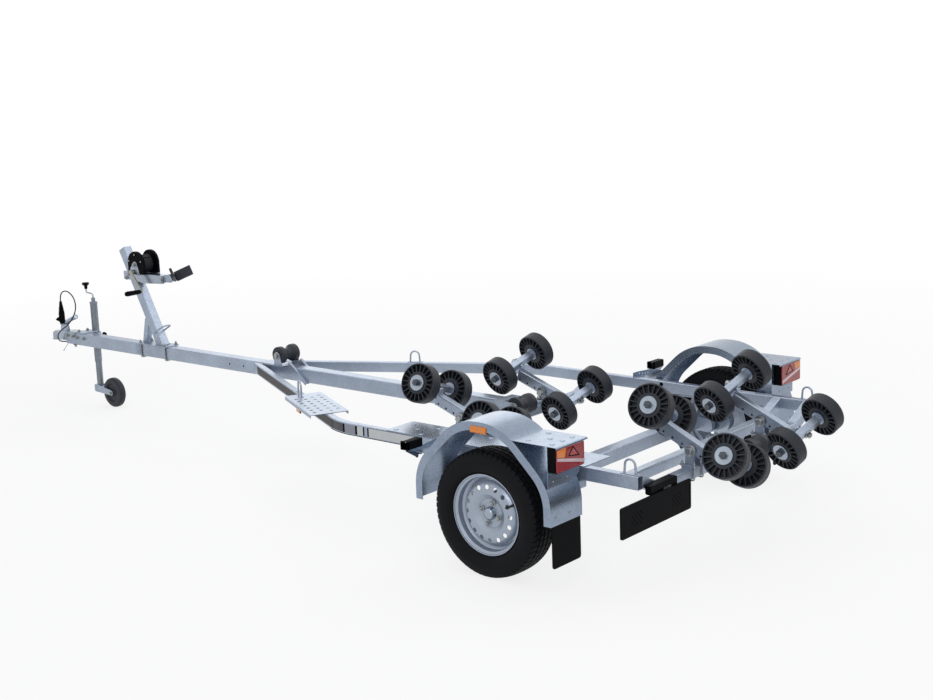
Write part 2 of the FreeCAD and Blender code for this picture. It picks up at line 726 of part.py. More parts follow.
def make_steps():
    """Rear step plates and lamp plates, the walkway, the front stays and the perforated rail step."""
    wide = "(guard_outer - guard_inner)"
    middle = "(guard_inner + guard_outer) / 2"
    skin = arch_solid("StepTrim", "0", "guard_inner - 1", wide + " + 2")
    top = extruded("StepTop", "YZ", [[("step_front + 40", "step_height"), ("step_rear", "step_height", "5"),
                                      ("step_rear", "step_height - 9"), ("step_rear + 2", "step_height - 9"),
                                      ("step_rear + 2", "step_height - 2", "3"),
                                      ("step_front + 40", "step_height - 2")]], wide, x="guard_inner")
    step = studded("Step", cut("StepSheet", top, [skin]),
                   [(middle + " + 70 * %d" % a, "step_rear + 50 + 62 * %d" % b)
                    for a, b in ((-1, 0), (0, 0), (1, 0), (-1, 2), (0, 1), (1, 2))], "step_height")
    lamp_plate = extruded("LampPlate", "XZ", [
        [("guard_inner", "step_height - 2"), ("guard_inner", "guard_shoulder + 30"),
         ("guard_inner + 40", "guard_shoulder + 5"), ("guard_outer", "guard_shoulder + 5"),
         ("guard_outer", "step_height - 2")]], "guard_sheet", y="lamp_plate_y")
    rear = fuse("RearStep", [step, cut("LampPlateTrimmed", lamp_plate, [skin])])
    strip = extruded("Stay", "XZ", [
        [("rail_gauge - rail_wide / 2", "rail_top"), ("rail_gauge + rail_wide / 2", "rail_top"),
         ("stay_end - 10", "guard_shoulder + 15"),
         ("stay_end - 15", "guard_shoulder - 15", "8"), ("stay_end + 8", "guard_shoulder + 10"),
         ("guard_outer", "lamp_foot - 4"), ("guard_outer", "lamp_foot + front_lamp_high"),
         ("stay_end - 35", "lamp_foot + front_lamp_high"), ("stay_end - 35", "lamp_foot + 4"),
         ("rail_gauge + rail_wide / 2", "rail_top + 26"), ("rail_gauge - rail_wide / 2", "rail_top + 26")]],
        "3", y="stay_y", holes=[("rail_gauge + rail_wide / 2 + %d" % a, "rail_top + %d" % b, "4.5")
                                for a, b in ((20, 12), (48, 8), (76, 4), (104, 0))])
    shelf = block("StayShelf", "stay_end - rail_gauge", "stay_y - guard_half + 60", "3",
                  "(stay_end + rail_gauge) / 2 + 20", "(stay_y + guard_half - 60) / 2 - 1.5", "rail_top - 3")
    stay = fuse("FrontStay", [strip, cut("StayShelfTrimmed", shelf, [skin, block(
        "StayRail", "rail_wide + 2", "stay_y", "rail_high", "rail_gauge", "stay_y",
        "rail_top - rail_high")])])
    walk_wide, walk_long = "(rail_gauge + rail_wide / 2 - walk_inner)", "(walk_front - walk_rear)"
    deck = extruded("Walkway", "XY", [oblong(walk_wide, walk_long, "8")], "3",
                    x="-(walk_inner + %s / 2)" % walk_wide, y="(walk_front + walk_rear) / 2", z="rail_top")
    walk = studded("Walk", deck, staggered(("-walk_inner - 40", "walk_front - 40"), 3, 14), "rail_top + 3")
    pieces = pair("RearStepSide", rear) + pair("StaySide", stay) + [walk, make_rail_step()]
    node("step_plates", pieces)


def make_rail_step():
    """Perforated step plate across the left rail, with two edges turned down."""
    lean = "atan((rail_gauge - bar_wide / 2) / (rail_join_y - rail_bend_y))"
    slots = [("%d" % ((column - 1.5) * 44), "%d" % (row * 56 + 28 * (column % 2) - 196))
             for column in range(4) for row in range(7)]
    sheet = extruded("RailStep", "XY", [oblong("rail_step_wide", "rail_step_long", "6")], "3",
                     holes=[(x, y, "9") for x, y in slots])
    lips = [block("RailStepLip%d" % i, "3", "rail_step_long - 20", "18", x, "0", "-15")
            for i, x in enumerate(("rail_step_wide / 2 - 1.5", "1.5 - rail_step_wide / 2"))]
    x = "-(bar_wide / 2 + (rail_join_y - rail_step_y) * tan(%s))" % lean
    return moved("RailStepAt", [fuse("RailStepSheet", [sheet] + lips)], x, "rail_step_y", "rail_top",
                 (0, 0, -1), lean)


def make_lamps():
    """Tail lamps, front position lamps and side reflectors."""
    middle = "(guard_inner + guard_outer) / 2 + 10"
    low = "(step_height - 2 - lamp_high)"
    outline = oblong("lamp_wide", "lamp_high", "9")
    body = extruded("LampBody", "XZ", [outline], "lamp_deep", x=middle, y="lamp_plate_y - guard_sheet",
                    z=low + " + lamp_high / 2")
    lens = extruded("Lens", "XZ", [oblong("lamp_wide - 6", "lamp_high - 12", "7")], "lens_deep", x=middle,
                    y="lamp_plate_y - guard_sheet - lamp_deep", z=low + " + lamp_high / 2 - 3")
    node("tail_lamp_bodies", pair("LampBody", body))
    node("tail_lamp_lenses", pair("Lens", lens))
    front = extruded("FrontLamp", "XZ", [oblong("guard_outer - stay_end + 35", "front_lamp_high", "6")], "38",
                     x="(guard_outer + stay_end - 35) / 2", y="stay_y + 38",
                     z="lamp_foot + front_lamp_high / 2")
    mark = extruded("SideReflector", "YZ", [oblong("88", "30", "3")], "6", x="guard_outer",
                    z="guard_top - 34")
    node("marker_lamps", pair("FrontLampSide", front) + pair("ReflectorSide", mark))


def make_plate():
    """Number-plate holder on a folded bracket behind the left end of the rear cross-beam."""
    clusters = [("%d + plate_x_hole * %d" % (12 * a, side), "%d" % (12 * b))
                for side in (-1, 1) for a in (-3, -2, -1, 0, 1, 2, 3) for b in (-2, -1, 0, 1, 2)
                 if (a + b) % 2 == 0]
    board = extruded("Board", "XZ", [oblong("plate_wide", "plate_high", "10"),
                                     oblong("5", "92", "2", x="plate_wide / 2 - 14")], "8",
                     x="-plate_x", y="plate_y", z="plate_middle", holes=[(x, z, "3.5") for x, z in clusters])
    bracket = extruded("BoardBracket", "YZ", [
        [("rear_beam_y - beam_size / 2", "beam_top + 22"), ("plate_y", "beam_top + 22", "4"),
         ("plate_y", "plate_middle"), ("plate_y + 3", "plate_middle"), ("plate_y + 3", "beam_top + 19", "1"),
         ("rear_beam_y - beam_size / 2", "beam_top + 19")]], "200", x="-rail_gauge + rail_wide")
    window = extruded("BracketWindow", "XZ", [oblong("120", "70", "12")], "20",
                      x="-rail_gauge + rail_wide + 100",
                      y="plate_y + 10", z="plate_middle + 40")
    lamp = extruded("PlateLamp", "YZ", [oblong("34", "40", "8")], "90", x="-rail_gauge + rail_wide + 14",
                    y="plate_y + 22", z="beam_top - 1.3")
    node("plate_holder", [fuse("PlateHolder", [board, cut("BracketOpen", bracket, [window])]), lamp])


# Coupling, jack and cable

def make_coupling():
    """Pressed ball coupling over the front end of the drawbar, with its lever on two ears."""
    top = "(bar_bottom + bar_wide)"
    sleeve = tube("Sleeve", "XZ", "bar_wide + 8", "48", "4", "110", y="bar_front", z=top + " - 20")
    opening = block("SleeveOpen", "bar_wide", "112", "46", "0", "bar_front - 55", top + " - 46")
    neck = lofted("Neck",
                  [("88", "64", "14", "bar_front", "482"), ("76", "60", "16", "bar_front + 80", "474"),
                   ("60", "52", "16", "coupling_y", "470")])
    head = turned("Head",
                  [("-12", "0"), ("-12", "42"), ("-6", "42", "3"), ("-4", "38", "3"), ("38", "38", "16"),
                   ("46", "20", "8"), ("46", "0")], "z", y="coupling_y", z="ball_height")
    socket = fuse("Socket", [ball("SocketBall", "ball_radius", "0", "coupling_y", "ball_height"),
                             rod("SocketMouth", "ball_radius", "60", "0", "coupling_y", "ball_height - 60")])
    ears = [extruded("Ear%d" % i, "YZ", [[("lever_y - 34", top + " - 4"), ("lever_y + 30", top + " - 14"),
                                          ("lever_y + 14", "lever_z + 14", "12"),
                                          ("lever_y - 14", "lever_z + 14", "12")]], "4", x=x)
            for i, x in enumerate(("14 + free_gap", "-18 - free_gap"))]
    body = cut("CouplingBody",
               fuse("CouplingShell", [cut("SleeveCap", sleeve, [opening]), neck, head] + ears),
               [socket])
    node("coupling_head", [body])
    bar = rod("LeverBar", "14.1", "lever_long", "0", "0", "0", "y")
    knob = turned("LeverEnd", [("lever_long - 22", "0"), ("lever_long - 22", "17", "2"),
                               ("lever_long", "17", "4"), ("lever_long", "0")], "y")
    lever = moved("Lever", [fuse("LeverSolid", [bar, knob])], "0", "lever_y + 8", "lever_z - 4", (1, 0, 0),
                  "180 - lever_rise")
    node("coupling_lever", [lever])


def make_jack():
    """Clamp, outer tube with its bent crank, inner tube, fork and wheel."""
    at = {"x": "jack_x", "y": "jack_y"}
    ring = rod("ClampRing", "jack_tube + 10", "60", "jack_x", "jack_y", "bar_bottom + 12")
    web = block("ClampWeb", "jack_x - bar_wide / 2", "50", "60", "(jack_x + bar_wide / 2) / 2", "jack_y",
                "bar_bottom + 12")
    cover = extruded("ClampCover", "XY", [oblong("115", "90", "10")], "8", x="25", y="jack_y",
                     z="bar_bottom + bar_wide")
    rise = block("ClampRise", "8", "50", "20", "bar_wide / 2 + 6", "jack_y", "bar_bottom + bar_wide - 12")
    screw = turned("ClampScrew", [("0", "0"), ("0", "6"), ("26", "6"), ("26", "15", "3"), ("44", "15", "5"),
                                  ("44", "0")], "x", x="jack_x + jack_tube + 8", y="jack_y", z="bar_middle")
    hole = rod("ClampHole", "jack_tube", "110", "jack_x", "jack_y", "bar_bottom + 2")
    node("jack_clamp", [cut("JackClamp", fuse("ClampBody", [ring, web, rise, cover, screw]), [hole])])
    shell = turned("JackShell", [
        ("jack_foot", "jack_inner + free_gap"), ("jack_foot", "jack_tube"), ("jack_head - 4", "jack_tube"),
        ("jack_head - 4", "jack_tube + 2", "1"), ("jack_head + 8", "jack_tube + 2", "3"),
        ("jack_head + 12", "13", "3"), ("jack_head + 34", "13", "2"), ("jack_head + 38", "9"),
        ("jack_head + 38", "0"), ("jack_head - 8", "0"),
        ("jack_head - 8", "jack_inner + free_gap")], "z", **at)
    node("jack_outer_tube", [shell])
    inner = turned("JackInner", [("jack_pivot + seat_gap + 10", "jack_inner - jack_wall"),
                                 ("jack_pivot + seat_gap + 10", "jack_inner"),
                                 ("jack_pivot + seat_gap + 400", "jack_inner"),
                                 ("jack_pivot + seat_gap + 400", "jack_inner - jack_wall")], "z", **at)
    node("jack_inner_tube", [inner])
    crank = bent_rod("JackCrank", "5", "YZ", "XY", [("0", "0"), ("0", "24", "12"), ("72", "30", "12"),
                                                    ("72", "60")], "jack_x", "jack_y", "jack_head + 38")
    knob = turned("CrankKnob", [("0", "0"), ("0", "9", "2"), ("22", "10", "3"), ("28", "20", "4"),
                                ("42", "20", "4"), ("42", "0")], "z", x="jack_x", y="jack_y + 72",
                  z="jack_head + 92")
    node("jack_crank", [fuse("JackCrankKnob", [crank, knob])])
    half = "(jack_wheel_wide / 2 + side_gap)"
    back = "-jack_trail"
    crown = extruded("ForkCrown", "XY", [oblong("2 * %s + 8" % half, "54", "10")], "10", z="jack_pivot", **at)
    outline = [("27", "jack_pivot + 8", "4"), ("27", "jack_pivot - 38", "10"),
               (back, "jack_wheel - 18", "16"),
               (back + " - 18", "jack_wheel - 14", "12"), (back + " - 18", "jack_wheel + 14", "12"),
               (back, "jack_wheel + 18", "16"), ("-27", "jack_pivot + 8", "4")]
    cheeks = [extruded("ForkCheek%d" % i, "YZ", [outline], "4", x="jack_x + " + x, y="jack_y")
              for i, x in enumerate((half, "(-%s - 4)" % half))]
    pin = rod("ForkPin", "jack_pin", "2 * %s + 20" % half, "jack_x - %s - 10" % half, "jack_y - jack_trail",
              "jack_wheel", "x")
    node("jack_fork", [fuse("JackFork", [crown, pin] + cheeks)])
    wide = "(jack_wheel_wide / 2)"
    side = [(wide, "jack_pin + run_gap"), (wide, "20"), (wide + " - 9", "24"), (wide + " - 9", "58"),
            (wide, "64"), (wide, "jack_wheel - 12", "5"), (wide + " - 10", "jack_wheel - 1", "8"),
            (wide + " - 20", "jack_wheel", "20")]
    node("jack_wheel",
         [turned("JackWheel", both_ways(side), x="jack_x", y="jack_y - jack_trail", z="jack_wheel")])


def make_plug():
    """Parked plug, its cable out of the drawbar's end, and the steel safety wire."""
    body = turned("PlugBody",
                  [("0", "0"), ("0", "17", "2"), ("12", "17"), ("12", "20", "2"), ("62", "20", "6"),
                   ("150", "8", "3"), ("150", "0")], "z", x="-62", y="bar_front - 6", z="573")
    lid = turned("PlugLid", [("-40", "0"), ("-40", "10", "3"), ("-30", "10"), ("-30", "14", "2"), ("0", "14"),
                             ("0", "0")], "x", x="-62", y="bar_front - 6", z="605")
    node("plug", [fuse("Plug", [body, lid])])
    points = [Vector(*p) for p in ((-20, 4470, 438.4), (-26, 4526, 438.4), (-56, 4560, 441), (-70, 4556, 488),
                                   (-74, 4492, 530), (-74, 4412, 570), (-71, 4344, 630), (-68, 4308, 704),
                                   (-65, 4338, 772), (-63, 4418, 806), (-62, 4494, 776), (-62, 4494, 723))]
    radii = []
    for before, corner, after in zip(points, points[1:], points[2:]):
        back, ahead = before - corner, after - corner
        half = (math.pi - back.getAngle(ahead)) / 2
        radii.append(0.45 * min(back.Length, ahead.Length) / math.tan(half))
    node("plug_cable", [cord("Cable", points, radii, 4)])
    wire = [Vector(*p) for p in ((30, 4460, 436.4), (30, 4540, 436.4), (24, 4590, 404), (18, 4630, 356))]
    node("safety_wire", [cord("Wire", wire, [60, 150], 2)])


# Winch post

def make_post():
    """Leaning post on its bolted foot, with a brace in front and a steel hoop."""
    top = "(bar_bottom + bar_wide)"
    drop = "60"
    span = "(post_size + 2 * hoop_rod - 2)"
    hoop = bent_rod("PostHoop", "hoop_rod", "XY", "XZ", [
        ("0", "0"), ("0", "-hoop_long", "28"), ("-" + span, "-hoop_long", "28"), ("-" + span, "0")],
                    span + " / 2", "0", "hoop_rise")
    post = moved("PostTube", [fuse("PostHooped", [tube("Post", "XY", "post_size", "post_size", "post_wall",
                                                       "post_long"), hoop])],
                 "0", "post_foot_y - %s * sin(post_lean)" % drop,
                 "%s + 6 - %s * cos(post_lean)" % (top, drop), (-1, 0, 0), "post_lean")
    below = block("PostTrim", "2 * post_size", "8 * post_size", "3 * post_size", "0", "post_foot_y",
                  top + " + 6 - 3 * post_size")
    base = extruded("PostBase", "XY", [oblong("110", "post_base", "8")], "6", y="post_foot_y + 55", z=top)
    brace = moved("PostBrace", [tube("Brace", "XY", "40", "40", "post_wall", "170")], "0",
                  "post_foot_y + 165", top + " + 6 - 12", (1, 0, 0), "14")
    inside = moved("PostCore", [block("PostCoreBlock", "post_size", "post_size", "post_long", "0", "0", "0")],
                   "0", "post_foot_y - %s * sin(post_lean)" % drop,
                   "%s + 6 - %s * cos(post_lean)" % (top, drop), (-1, 0, 0), "post_lean")
    node("winch_post", [fuse("WinchPost", [cut("PostTrimmed", post, [below]), base,
                                           cut("BraceTrimmed", brace, [inside, below])])])


def make_winch():
    """Winch frame clamped to the post, its black housing, drum, crank, and the bow stop."""
    mid = "(post_foot_y + (winch_level - bar_bottom - bar_wide - 6) * tan(post_lean))"
    drum = (mid + " - drum_back", "winch_level + drum_rise")
    pinion = (mid + " - pinion_back", "winch_level + pinion_rise")
    half = "(post_size / 2)"
    arm = [("75", "-26", "8"), ("75", "30", "8"), ("-60", "24"), ("-330", "16", "10"), ("-330", "-30", "10"),
           ("-120", "-40", "30"), ("-40", "-26")]
    sides = [extruded("WinchArm%d" % i, "YZ", [arm], "5", x=x, y=mid, z="winch_level")
             for i, x in enumerate((half, "-%s - 5" % half))]
    beds = [extruded("WinchBed%d" % i, "XY", [oblong(wide, long, "3")], "5", y=mid + back,
                     z="winch_level + 15")
            for i, (wide, long, back) in enumerate((("post_size + 10", "240", " - 190"),
                                                    ("2 * (cheek_x + cheek_wide)", "144", " - 101")))]
    gear = extruded("GearPlate", "YZ", [[("-drum_back - 42", "18"), ("-drum_back + 50", "18"),
                                         ("-pinion_back + 26", "pinion_rise + 24", "10"),
                                         ("-drum_back - 10", "drum_rise + 30", "14")]], "4",
                    x="-cheek_x - cheek_wide - 4", y=mid, z="winch_level")
    bores = [rod("WinchBore%d" % i, "drum_pin + run_gap", "%d * post_size" % span, "-2 * post_size", at[0],
                 at[1], "x") for i, (at, span) in enumerate(((drum, 4), (pinion, 2)))]
    node("winch_frame", [fuse("WinchArms", sides + beds), cut("WinchGearPlate", gear, bores)])
    cheek = [("-cheek_radius", "15"), ("cheek_radius", "15"),
             ("cheek_radius", "drum_rise + cheek_radius", "cheek_radius - 2"),
             ("-cheek_radius", "drum_rise + cheek_radius", "cheek_radius - 2")]
    cheeks = [extruded("Cheek%d" % i, "YZ", [cheek], "cheek_wide", x=x, y=drum[0], z="winch_level + 5")
              for i, x in enumerate(("cheek_x", "-cheek_x - cheek_wide"))]
    hub = turned("CheekHub", [("cheek_x + cheek_wide - 1", "0"), ("cheek_x + cheek_wide - 1", "46"),
                              ("cheek_x + cheek_wide + 5", "42", "4"), ("cheek_x + cheek_wide + 5", "0")],
                 y=drum[0], z=drum[1])
    bar = block("CheekBar", "2 * cheek_x + 2", "12", "12", "0", drum[0] + " + cheek_radius - 12",
                "winch_level + 34")
    node("winch_housing", [cut("WinchHousing", fuse("Cheeks", cheeks + [hub, bar]), bores)])
    w = "(cheek_x - side_gap)"
    end = "(cheek_x + cheek_wide - 2)"
    spool = turned("Drum", [("-" + end, "0"), ("-" + end, "drum_pin"), ("-" + w, "drum_pin"), ("-" + w, "20"),
                            ("-%s + 2" % w, "20"), ("-%s + 2" % w, "strap_radius", "3"),
                            (w + " - 2", "strap_radius", "3"), (w + " - 2", "20"), (w, "20"),
                            (w, "drum_pin"), (end, "drum_pin"), (end, "0")], y=drum[0], z=drum[1])
    node("winch_drum", [spool])
    left = "(cheek_x + cheek_wide + 26)"
    shaft = rod("PinionShaft", "drum_pin", "cheek_wide + 24", "-" + left, pinion[0], pinion[1], "x")
    boss = rod("CrankBoss", "15", "16", "-" + left, pinion[0], pinion[1], "x")
    flat = extruded("CrankArm", "YZ", [oblong("24", "crank_long + 24", "9", y="-crank_long / 2")], "7")
    arm = moved("CrankArmAt", [flat], "-" + left, pinion[0], pinion[1], (-1, 0, 0), "crank_lean")
    end_y = "%s - crank_long * sin(crank_lean)" % pinion[0]
    end_z = "%s - crank_long * cos(crank_lean)" % pinion[1]
    grip = turned("CrankGrip", [("-115", "0"), ("-115", "11", "4"), ("-100", "15", "10"), ("-20", "13", "20"),
                                ("-4", "10"), ("2", "10"), ("2", "0")], x="-" + left, y=end_y, z=end_z)
    node("winch_crank", [fuse("WinchCrank", [shaft, boss, arm, grip])])
    pad = moved("StopPadTurned",
                [extruded("StopPad", "XY", [oblong("stop_long", "stop_thick", "5", "stop_long / 2",
                                                   "stop_thick / 2")], "stop_high",
                          z="-stop_high")], about=(0, 0, -1), angle="stop_turn")
    valley = ("(%s - stop_back)" % mid, "(winch_level + stop_rise)")
    pads = moved("StopPadsAt", [fuse("StopPads", pair("StopPadSide", pad))], "0", valley[0], valley[1],
                 (-1, 0, 0), "stop_lean")
    root = extruded("StopRoot", "YZ", [
        [(mid + " - 310", "winch_level - 28"), (mid + " - 310", "winch_level + 12", "8"),
         (valley[0] + " + 6", valley[1] + " - 6"), (valley[0] + " + 6 - stop_high * sin(stop_lean)",
                                                   valley[1] + " - stop_high * cos(stop_lean)")]],
                    "post_size - 0.6", x="0.3 - post_size / 2")
    node("bow_stop", [fuse("BowStop", [pads, root])])


# Hull rollers

def make_roller():
    """Ribbed hull roller about the origin: hub ring, web, twenty ribs each side and a rounded tread."""
    w = "(roller_wide / 2)"
    side = [(w, "roller_bore + run_gap"), (w, "rib_foot"), ("6", "rib_foot + 3"), ("6", "rib_top - 3"),
            (w, "rib_top"), (w, "roller_radius", "6")]
    roller = spun_body("Roller", [both_ways(side)])
    rib = roller.newObject("PartDesign::Pad", "Rib")
    rib.Profile = sketch("RibSide", "XZ", [[("2 - " + w, "rib_foot - 2"), (w + " - 2", "rib_foot - 2"),
                                            (w + " - 2", "rib_top + 1"), ("2 - " + w, "rib_top + 1")]],
                         body=roller)
    bind(rib, "Length", "rib_thick")
    rib.SideType = "Symmetric"
    ring = roller.newObject("PartDesign::PolarPattern", "Ribs")
    ring.Originals = [rib]
    ring.Axis = (rib.Profile[0], ["H_Axis"])
    ring.Angle = 360
    bind(ring, "Occurrences", "roller_ribs")
    roller.Tip = ring
    return moved("RollerPair", [moved("RollerAt%d" % i, [roller], x)
                                for i, x in enumerate(("roller_gap / 2", "-roller_gap / 2"))],
                 z="swivel_drop")


def make_cross_axle():
    """Channel that swivels on the arm's end pin, with the rollers' shaft and its end discs.

    The swivel axis is the origin.
    """
    long = "(roller_gap - roller_wide - 2 * side_gap - 6)"
    section = [("-20", "-16"), ("-17", "-16"), ("-17", "13", "2"), ("17", "13", "2"), ("17", "-16"),
               ("20", "-16"), ("20", "16", "5"), ("-20", "16", "5")]
    channel = extruded("Channel", "YZ", [section], long, x="-%s / 2" % long, z="swivel_drop")
    lug = block("ChannelLug", "40", "34", "30", "0", "0", "swivel_drop - 16")
    disc = turned("InnerDisc",
                  [(long + " / 2 - 1", "0"), (long + " / 2 - 1", "32"), (long + " / 2 + 3", "32", "1"),
                   (long + " / 2 + 3", "0")], z="swivel_drop")
    far = "(roller_gap + roller_wide) / 2 + side_gap"
    cap = turned("OuterDisc", [(far, "0"), (far, "rib_foot - 15", "1"), (far + " + 4", "rib_foot - 16", "1"),
                               (far + " + 4", "14"), (far + " + 12", "13", "2"), (far + " + 12", "0")],
                 z="swivel_drop")
    shaft = rod("RollerShaft", "roller_bore", "%s + 2 - %s / 2" % (far, long), long + " / 2 - 1", "0",
                "swivel_drop", "x")
    ends = [thing for name, solid in (("InnerDiscs", disc), ("OuterDiscs", cap), ("Shafts", shaft))
            for thing in pair(name, solid)]
    bore = rod("SwivelBore", "swivel_pin + run_gap", "60", "0", "-30", "0", "y")
    return cut("CrossAxle", fuse("CrossAxleBody", [channel, lug] + ends), [bore])


def make_arm():
    """Rocking arm about its pivot, level: a drilled tube with an upright and a swivel pin at each end."""
    reach = "(arm_half - 31)"
    middle = "tube_rise"
    bar = tube("Arm", "XZ", "arm_wide", "arm_high", "arm_wall", "2 * (arm_half - 34)", y="arm_half - 34",
               z=middle)
    sleeve = rod("ArmSleeve", "arm_pin + 6", "arm_wide", "-arm_wide / 2", "0", "0", "x")
    foot = "(tube_rise - arm_high / 2)"
    upright = extruded("Upright", "XZ", [[("-arm_wide / 2", foot), ("arm_wide / 2", foot),
                                          ("arm_wide / 2", "axis_rise - 22", "8"),
                                          ("14", "axis_rise + 6", "10"),
                                          ("-14", "axis_rise + 6", "10"),
                                          ("-arm_wide / 2", "axis_rise - 22", "8")]],
                       "6")
    ends = []
    for i, sign in enumerate("+-"):
        ends.append(moved("Upright%d" % i, [upright], "0", "%s1 * %s + 3" % (sign, reach)))
        start = "arm_half - 28" if sign == "+" else "-arm_half - 36"
        ends.append(rod("SwivelPin%d" % i, "swivel_pin", "64", "0", start, "axis_rise - swivel_drop", "y"))
    holes = [rod("ArmHole%d" % i, "5.5", "2 * arm_wide", "-arm_wide", "arm_hole_pitch * %s" % i,
                 foot + " + 16",
                 "x") for i in (-3, -2, -1, 1, 2, 3)]
    pivot = rod("ArmBore", "arm_pin + run_gap", "2 * arm_wide", "-arm_wide", "0", "0", "x")
    return cut("ArmSolid", fuse("ArmBody", [bar, sleeve] + ends), holes + [pivot])


def make_rollers():
    """The four arms, each with two swivelling cross-axles and their roller pairs."""
    arm, axle, rollers = make_arm(), make_cross_axle(), make_roller()
    for spot in ("front", "rear"):
        for side, sign in (("left", "-"), ("right", "")):
            name = "%s_%s" % (spot, side)
            tip = {"x": "%s%s_arm_x" % (sign, spot), "y": spot + "_arm_y", "z": spot + "_arm_z",
                   "about": (1, 0, 0), "angle": spot + "_arm_tilt"}
            node("arm_" + name, [moved("ArmAt_" + name, [arm], **tip)])
            for end, way in (("front", ""), ("rear", "-")):
                lean = (0, 1, 0) if side == "left" else (0, -1, 0)
                for label, solid in (("cross_axle_", axle), ("rollers_", rollers)):
                    tag = "%s%s_%s" % (label, name, end)
                    leant = moved("Lean_" + tag, [solid], "0", way + "arm_half",
                                  "axis_rise - swivel_drop", lean,
                                  spot + "_roll_tilt")
                    node(tag, [moved("At_" + tag, [leant], **tip)])


def make_brackets():
    """Brackets of the arms and the keel rollers, and the keel rollers."""
    pieces = []
    for spot in ("front", "rear"):
        x, y, z, beam = spot + "_arm_x", spot + "_arm_y", spot + "_arm_z", spot + "_beam_y"
        gap = "(arm_wide / 2 + side_gap)"
        base = block(spot + "Base", "2 * %s + 44" % gap, "beam_size", "6", x, beam, "beam_top")
        slot = block(spot + "BaseSlot", "2 * %s" % gap, "beam_size + 2", "7", x, beam, "beam_top - 0.5")
        cheek = [(beam + " - beam_size / 2", "beam_top"), (beam + " + beam_size / 2", "beam_top"),
                 (y + " + 22", z + " + 4", "14"), (y + " + 6", z + " + 24", "12"),
                 (y + " - 18", z + " + 22", "14")]
        cheeks = [extruded("%sCheek%d" % (spot, i), "YZ", [cheek], "5", x=at)
                  for i, at in enumerate((x + " + " + gap, "%s - %s - 5" % (x, gap)))]
        pin = rod(spot + "Pin", "arm_pin", "2 * %s + 40" % gap, "%s - %s - 20" % (x, gap), y, z, "x")
        bridge = block(spot + "Bridge", "2 * %s + 2" % gap, "8", "14", x, beam + " + beam_size / 2 - 4",
                       "beam_top")
        pieces += pair(spot + "Bracket",
                       fuse(spot + "BracketSolid", [cut(spot + "BaseOpen", base, [slot]), pin]
                            + cheeks + ([bridge] if spot == "rear" else [])))
    half = "(keel_wide / 2 + side_gap)"
    top = "bar_bottom + bar_wide"
    side = [("(keel_wide / 2)", "keel_pin + run_gap"), ("(keel_wide / 2)", "keel_radius", "4"),
            ("(keel_wide / 2) - 28", "keel_radius", "8"), ("keel_flat", "keel_waist", "20")]
    roller = turned("KeelRoller", both_ways(side))
    for spot in ("front", "middle", "rear"):
        y, z = spot + "_keel_y", spot + "_keel_z"
        node("keel_roller_" + spot, [moved("KeelAt_" + spot, [roller], "0", y, z)])
        outline = {
            "front": [(y + " + 34", top), (y + " + 18", z + " + 18", "16"), (y + " - 18", z + " + 18", "16"),
                      (y + " - 34", top)],
            "middle": [("bar_rear + 66", top), ("bar_rear + 66", top + " + 5"),
                       (y + " + 10", z + " + 24", "12"),
                       (y + " - 22", z + " + 24", "18"), (y + " - 22", z + " - 22", "18"),
                       (y + " + 30", z + " - 24", "10"), ("bar_rear + 66", top + " - 20", "6")],
            "rear": [("rear_beam_y - beam_size / 2", "beam_top"), (y + " + 24", z + " + 18", "16"),
                     (y + " - 20", z + " + 18", "16"), (y + " - 20", z + " - 20", "16"),
                     ("rear_beam_y - beam_size / 2", "beam_top - beam_size")]}[spot]
        cheeks = [extruded("%sKeelCheek%d" % (spot, i), "YZ", [outline], "keel_sheet", x=x)
                  for i, x in enumerate((half, "-%s - keel_sheet" % half))]
        pin = rod(spot + "KeelPin", "keel_pin", "2 * %s + 26" % half, "-%s - 13" % half, y, z, "x")
        wide = "2 * %s + 2 * keel_sheet" % half
        if spot == "rear":
            base = block("rearKeelBase", wide, "keel_sheet", "beam_size", "0",
                         "rear_beam_y - beam_size / 2 - keel_sheet / 2", "beam_top - beam_size")
        else:
            base = block(spot + "KeelBase", wide, "68" if spot == "front" else "60", "keel_sheet", "0",
                         y if spot == "front" else "bar_rear + 36", top)
        pieces.append(fuse(spot + "KeelBracket", [base, pin] + cheeks))
    node("roller_brackets", pieces)


def make_eyes():
    """Four lashing eyes on the rails."""
    hoop = bent_rod("EyeHoop", "5", "YZ", "XY",
                    [("0", "0"), ("7", "62", "16"), ("53", "62", "16"), ("60", "0")],
                    "0", "-30", "2")
    foot = extruded("EyeFoot", "XY", [oblong("24", "90", "6")], "3")
    eye = fuse("Eye", [hoop, foot])
    lean = "atan((rail_gauge - bar_wide / 2) / (rail_join_y - rail_bend_y))"
    front = moved("EyeFront", [eye], "bar_wide / 2 + (rail_join_y - eye_y) * tan(%s)" % lean, "eye_y",
                  "rail_top", (0, 0, 1), lean)
    rear = moved("EyeRear", [eye], "rail_gauge", "rail_rear + 50", "rail_top")
    node("lashing_eyes", pair("EyeFrontSide", front) + pair("EyeRearSide", rear))


for make in (make_drawbar, make_rails, make_beams, make_axle, make_wheels, make_guards, make_steps,
             make_lamps, make_plate, make_coupling, make_jack, make_plug, make_post, make_winch,
             make_rollers, make_brackets, make_eyes):
    make()
DOC.recompute()

for thing in DOC.Objects:
    if "Invalid" in thing.State or "Error" in thing.State:
        raise RuntimeError("%s could not be built" % thing.Label)
for thing in NODES:
    if thing.Shape.isNull() or not thing.Shape.isValid():
        raise RuntimeError("%s has no valid shape" % thing.Label)

os.makedirs("parts", exist_ok=True)
for thing in NODES:
    thing.Shape.exportStep("parts/%s.step" % thing.Label)
print("%d nodes" % len(NODES))
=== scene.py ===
"""A galvanised boat trailer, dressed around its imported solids.

Places are given in millimetres from the ground under the middle of the axle, as the
sizes were taken, and become metres in the trailer's own frame when a piece is made.
"""

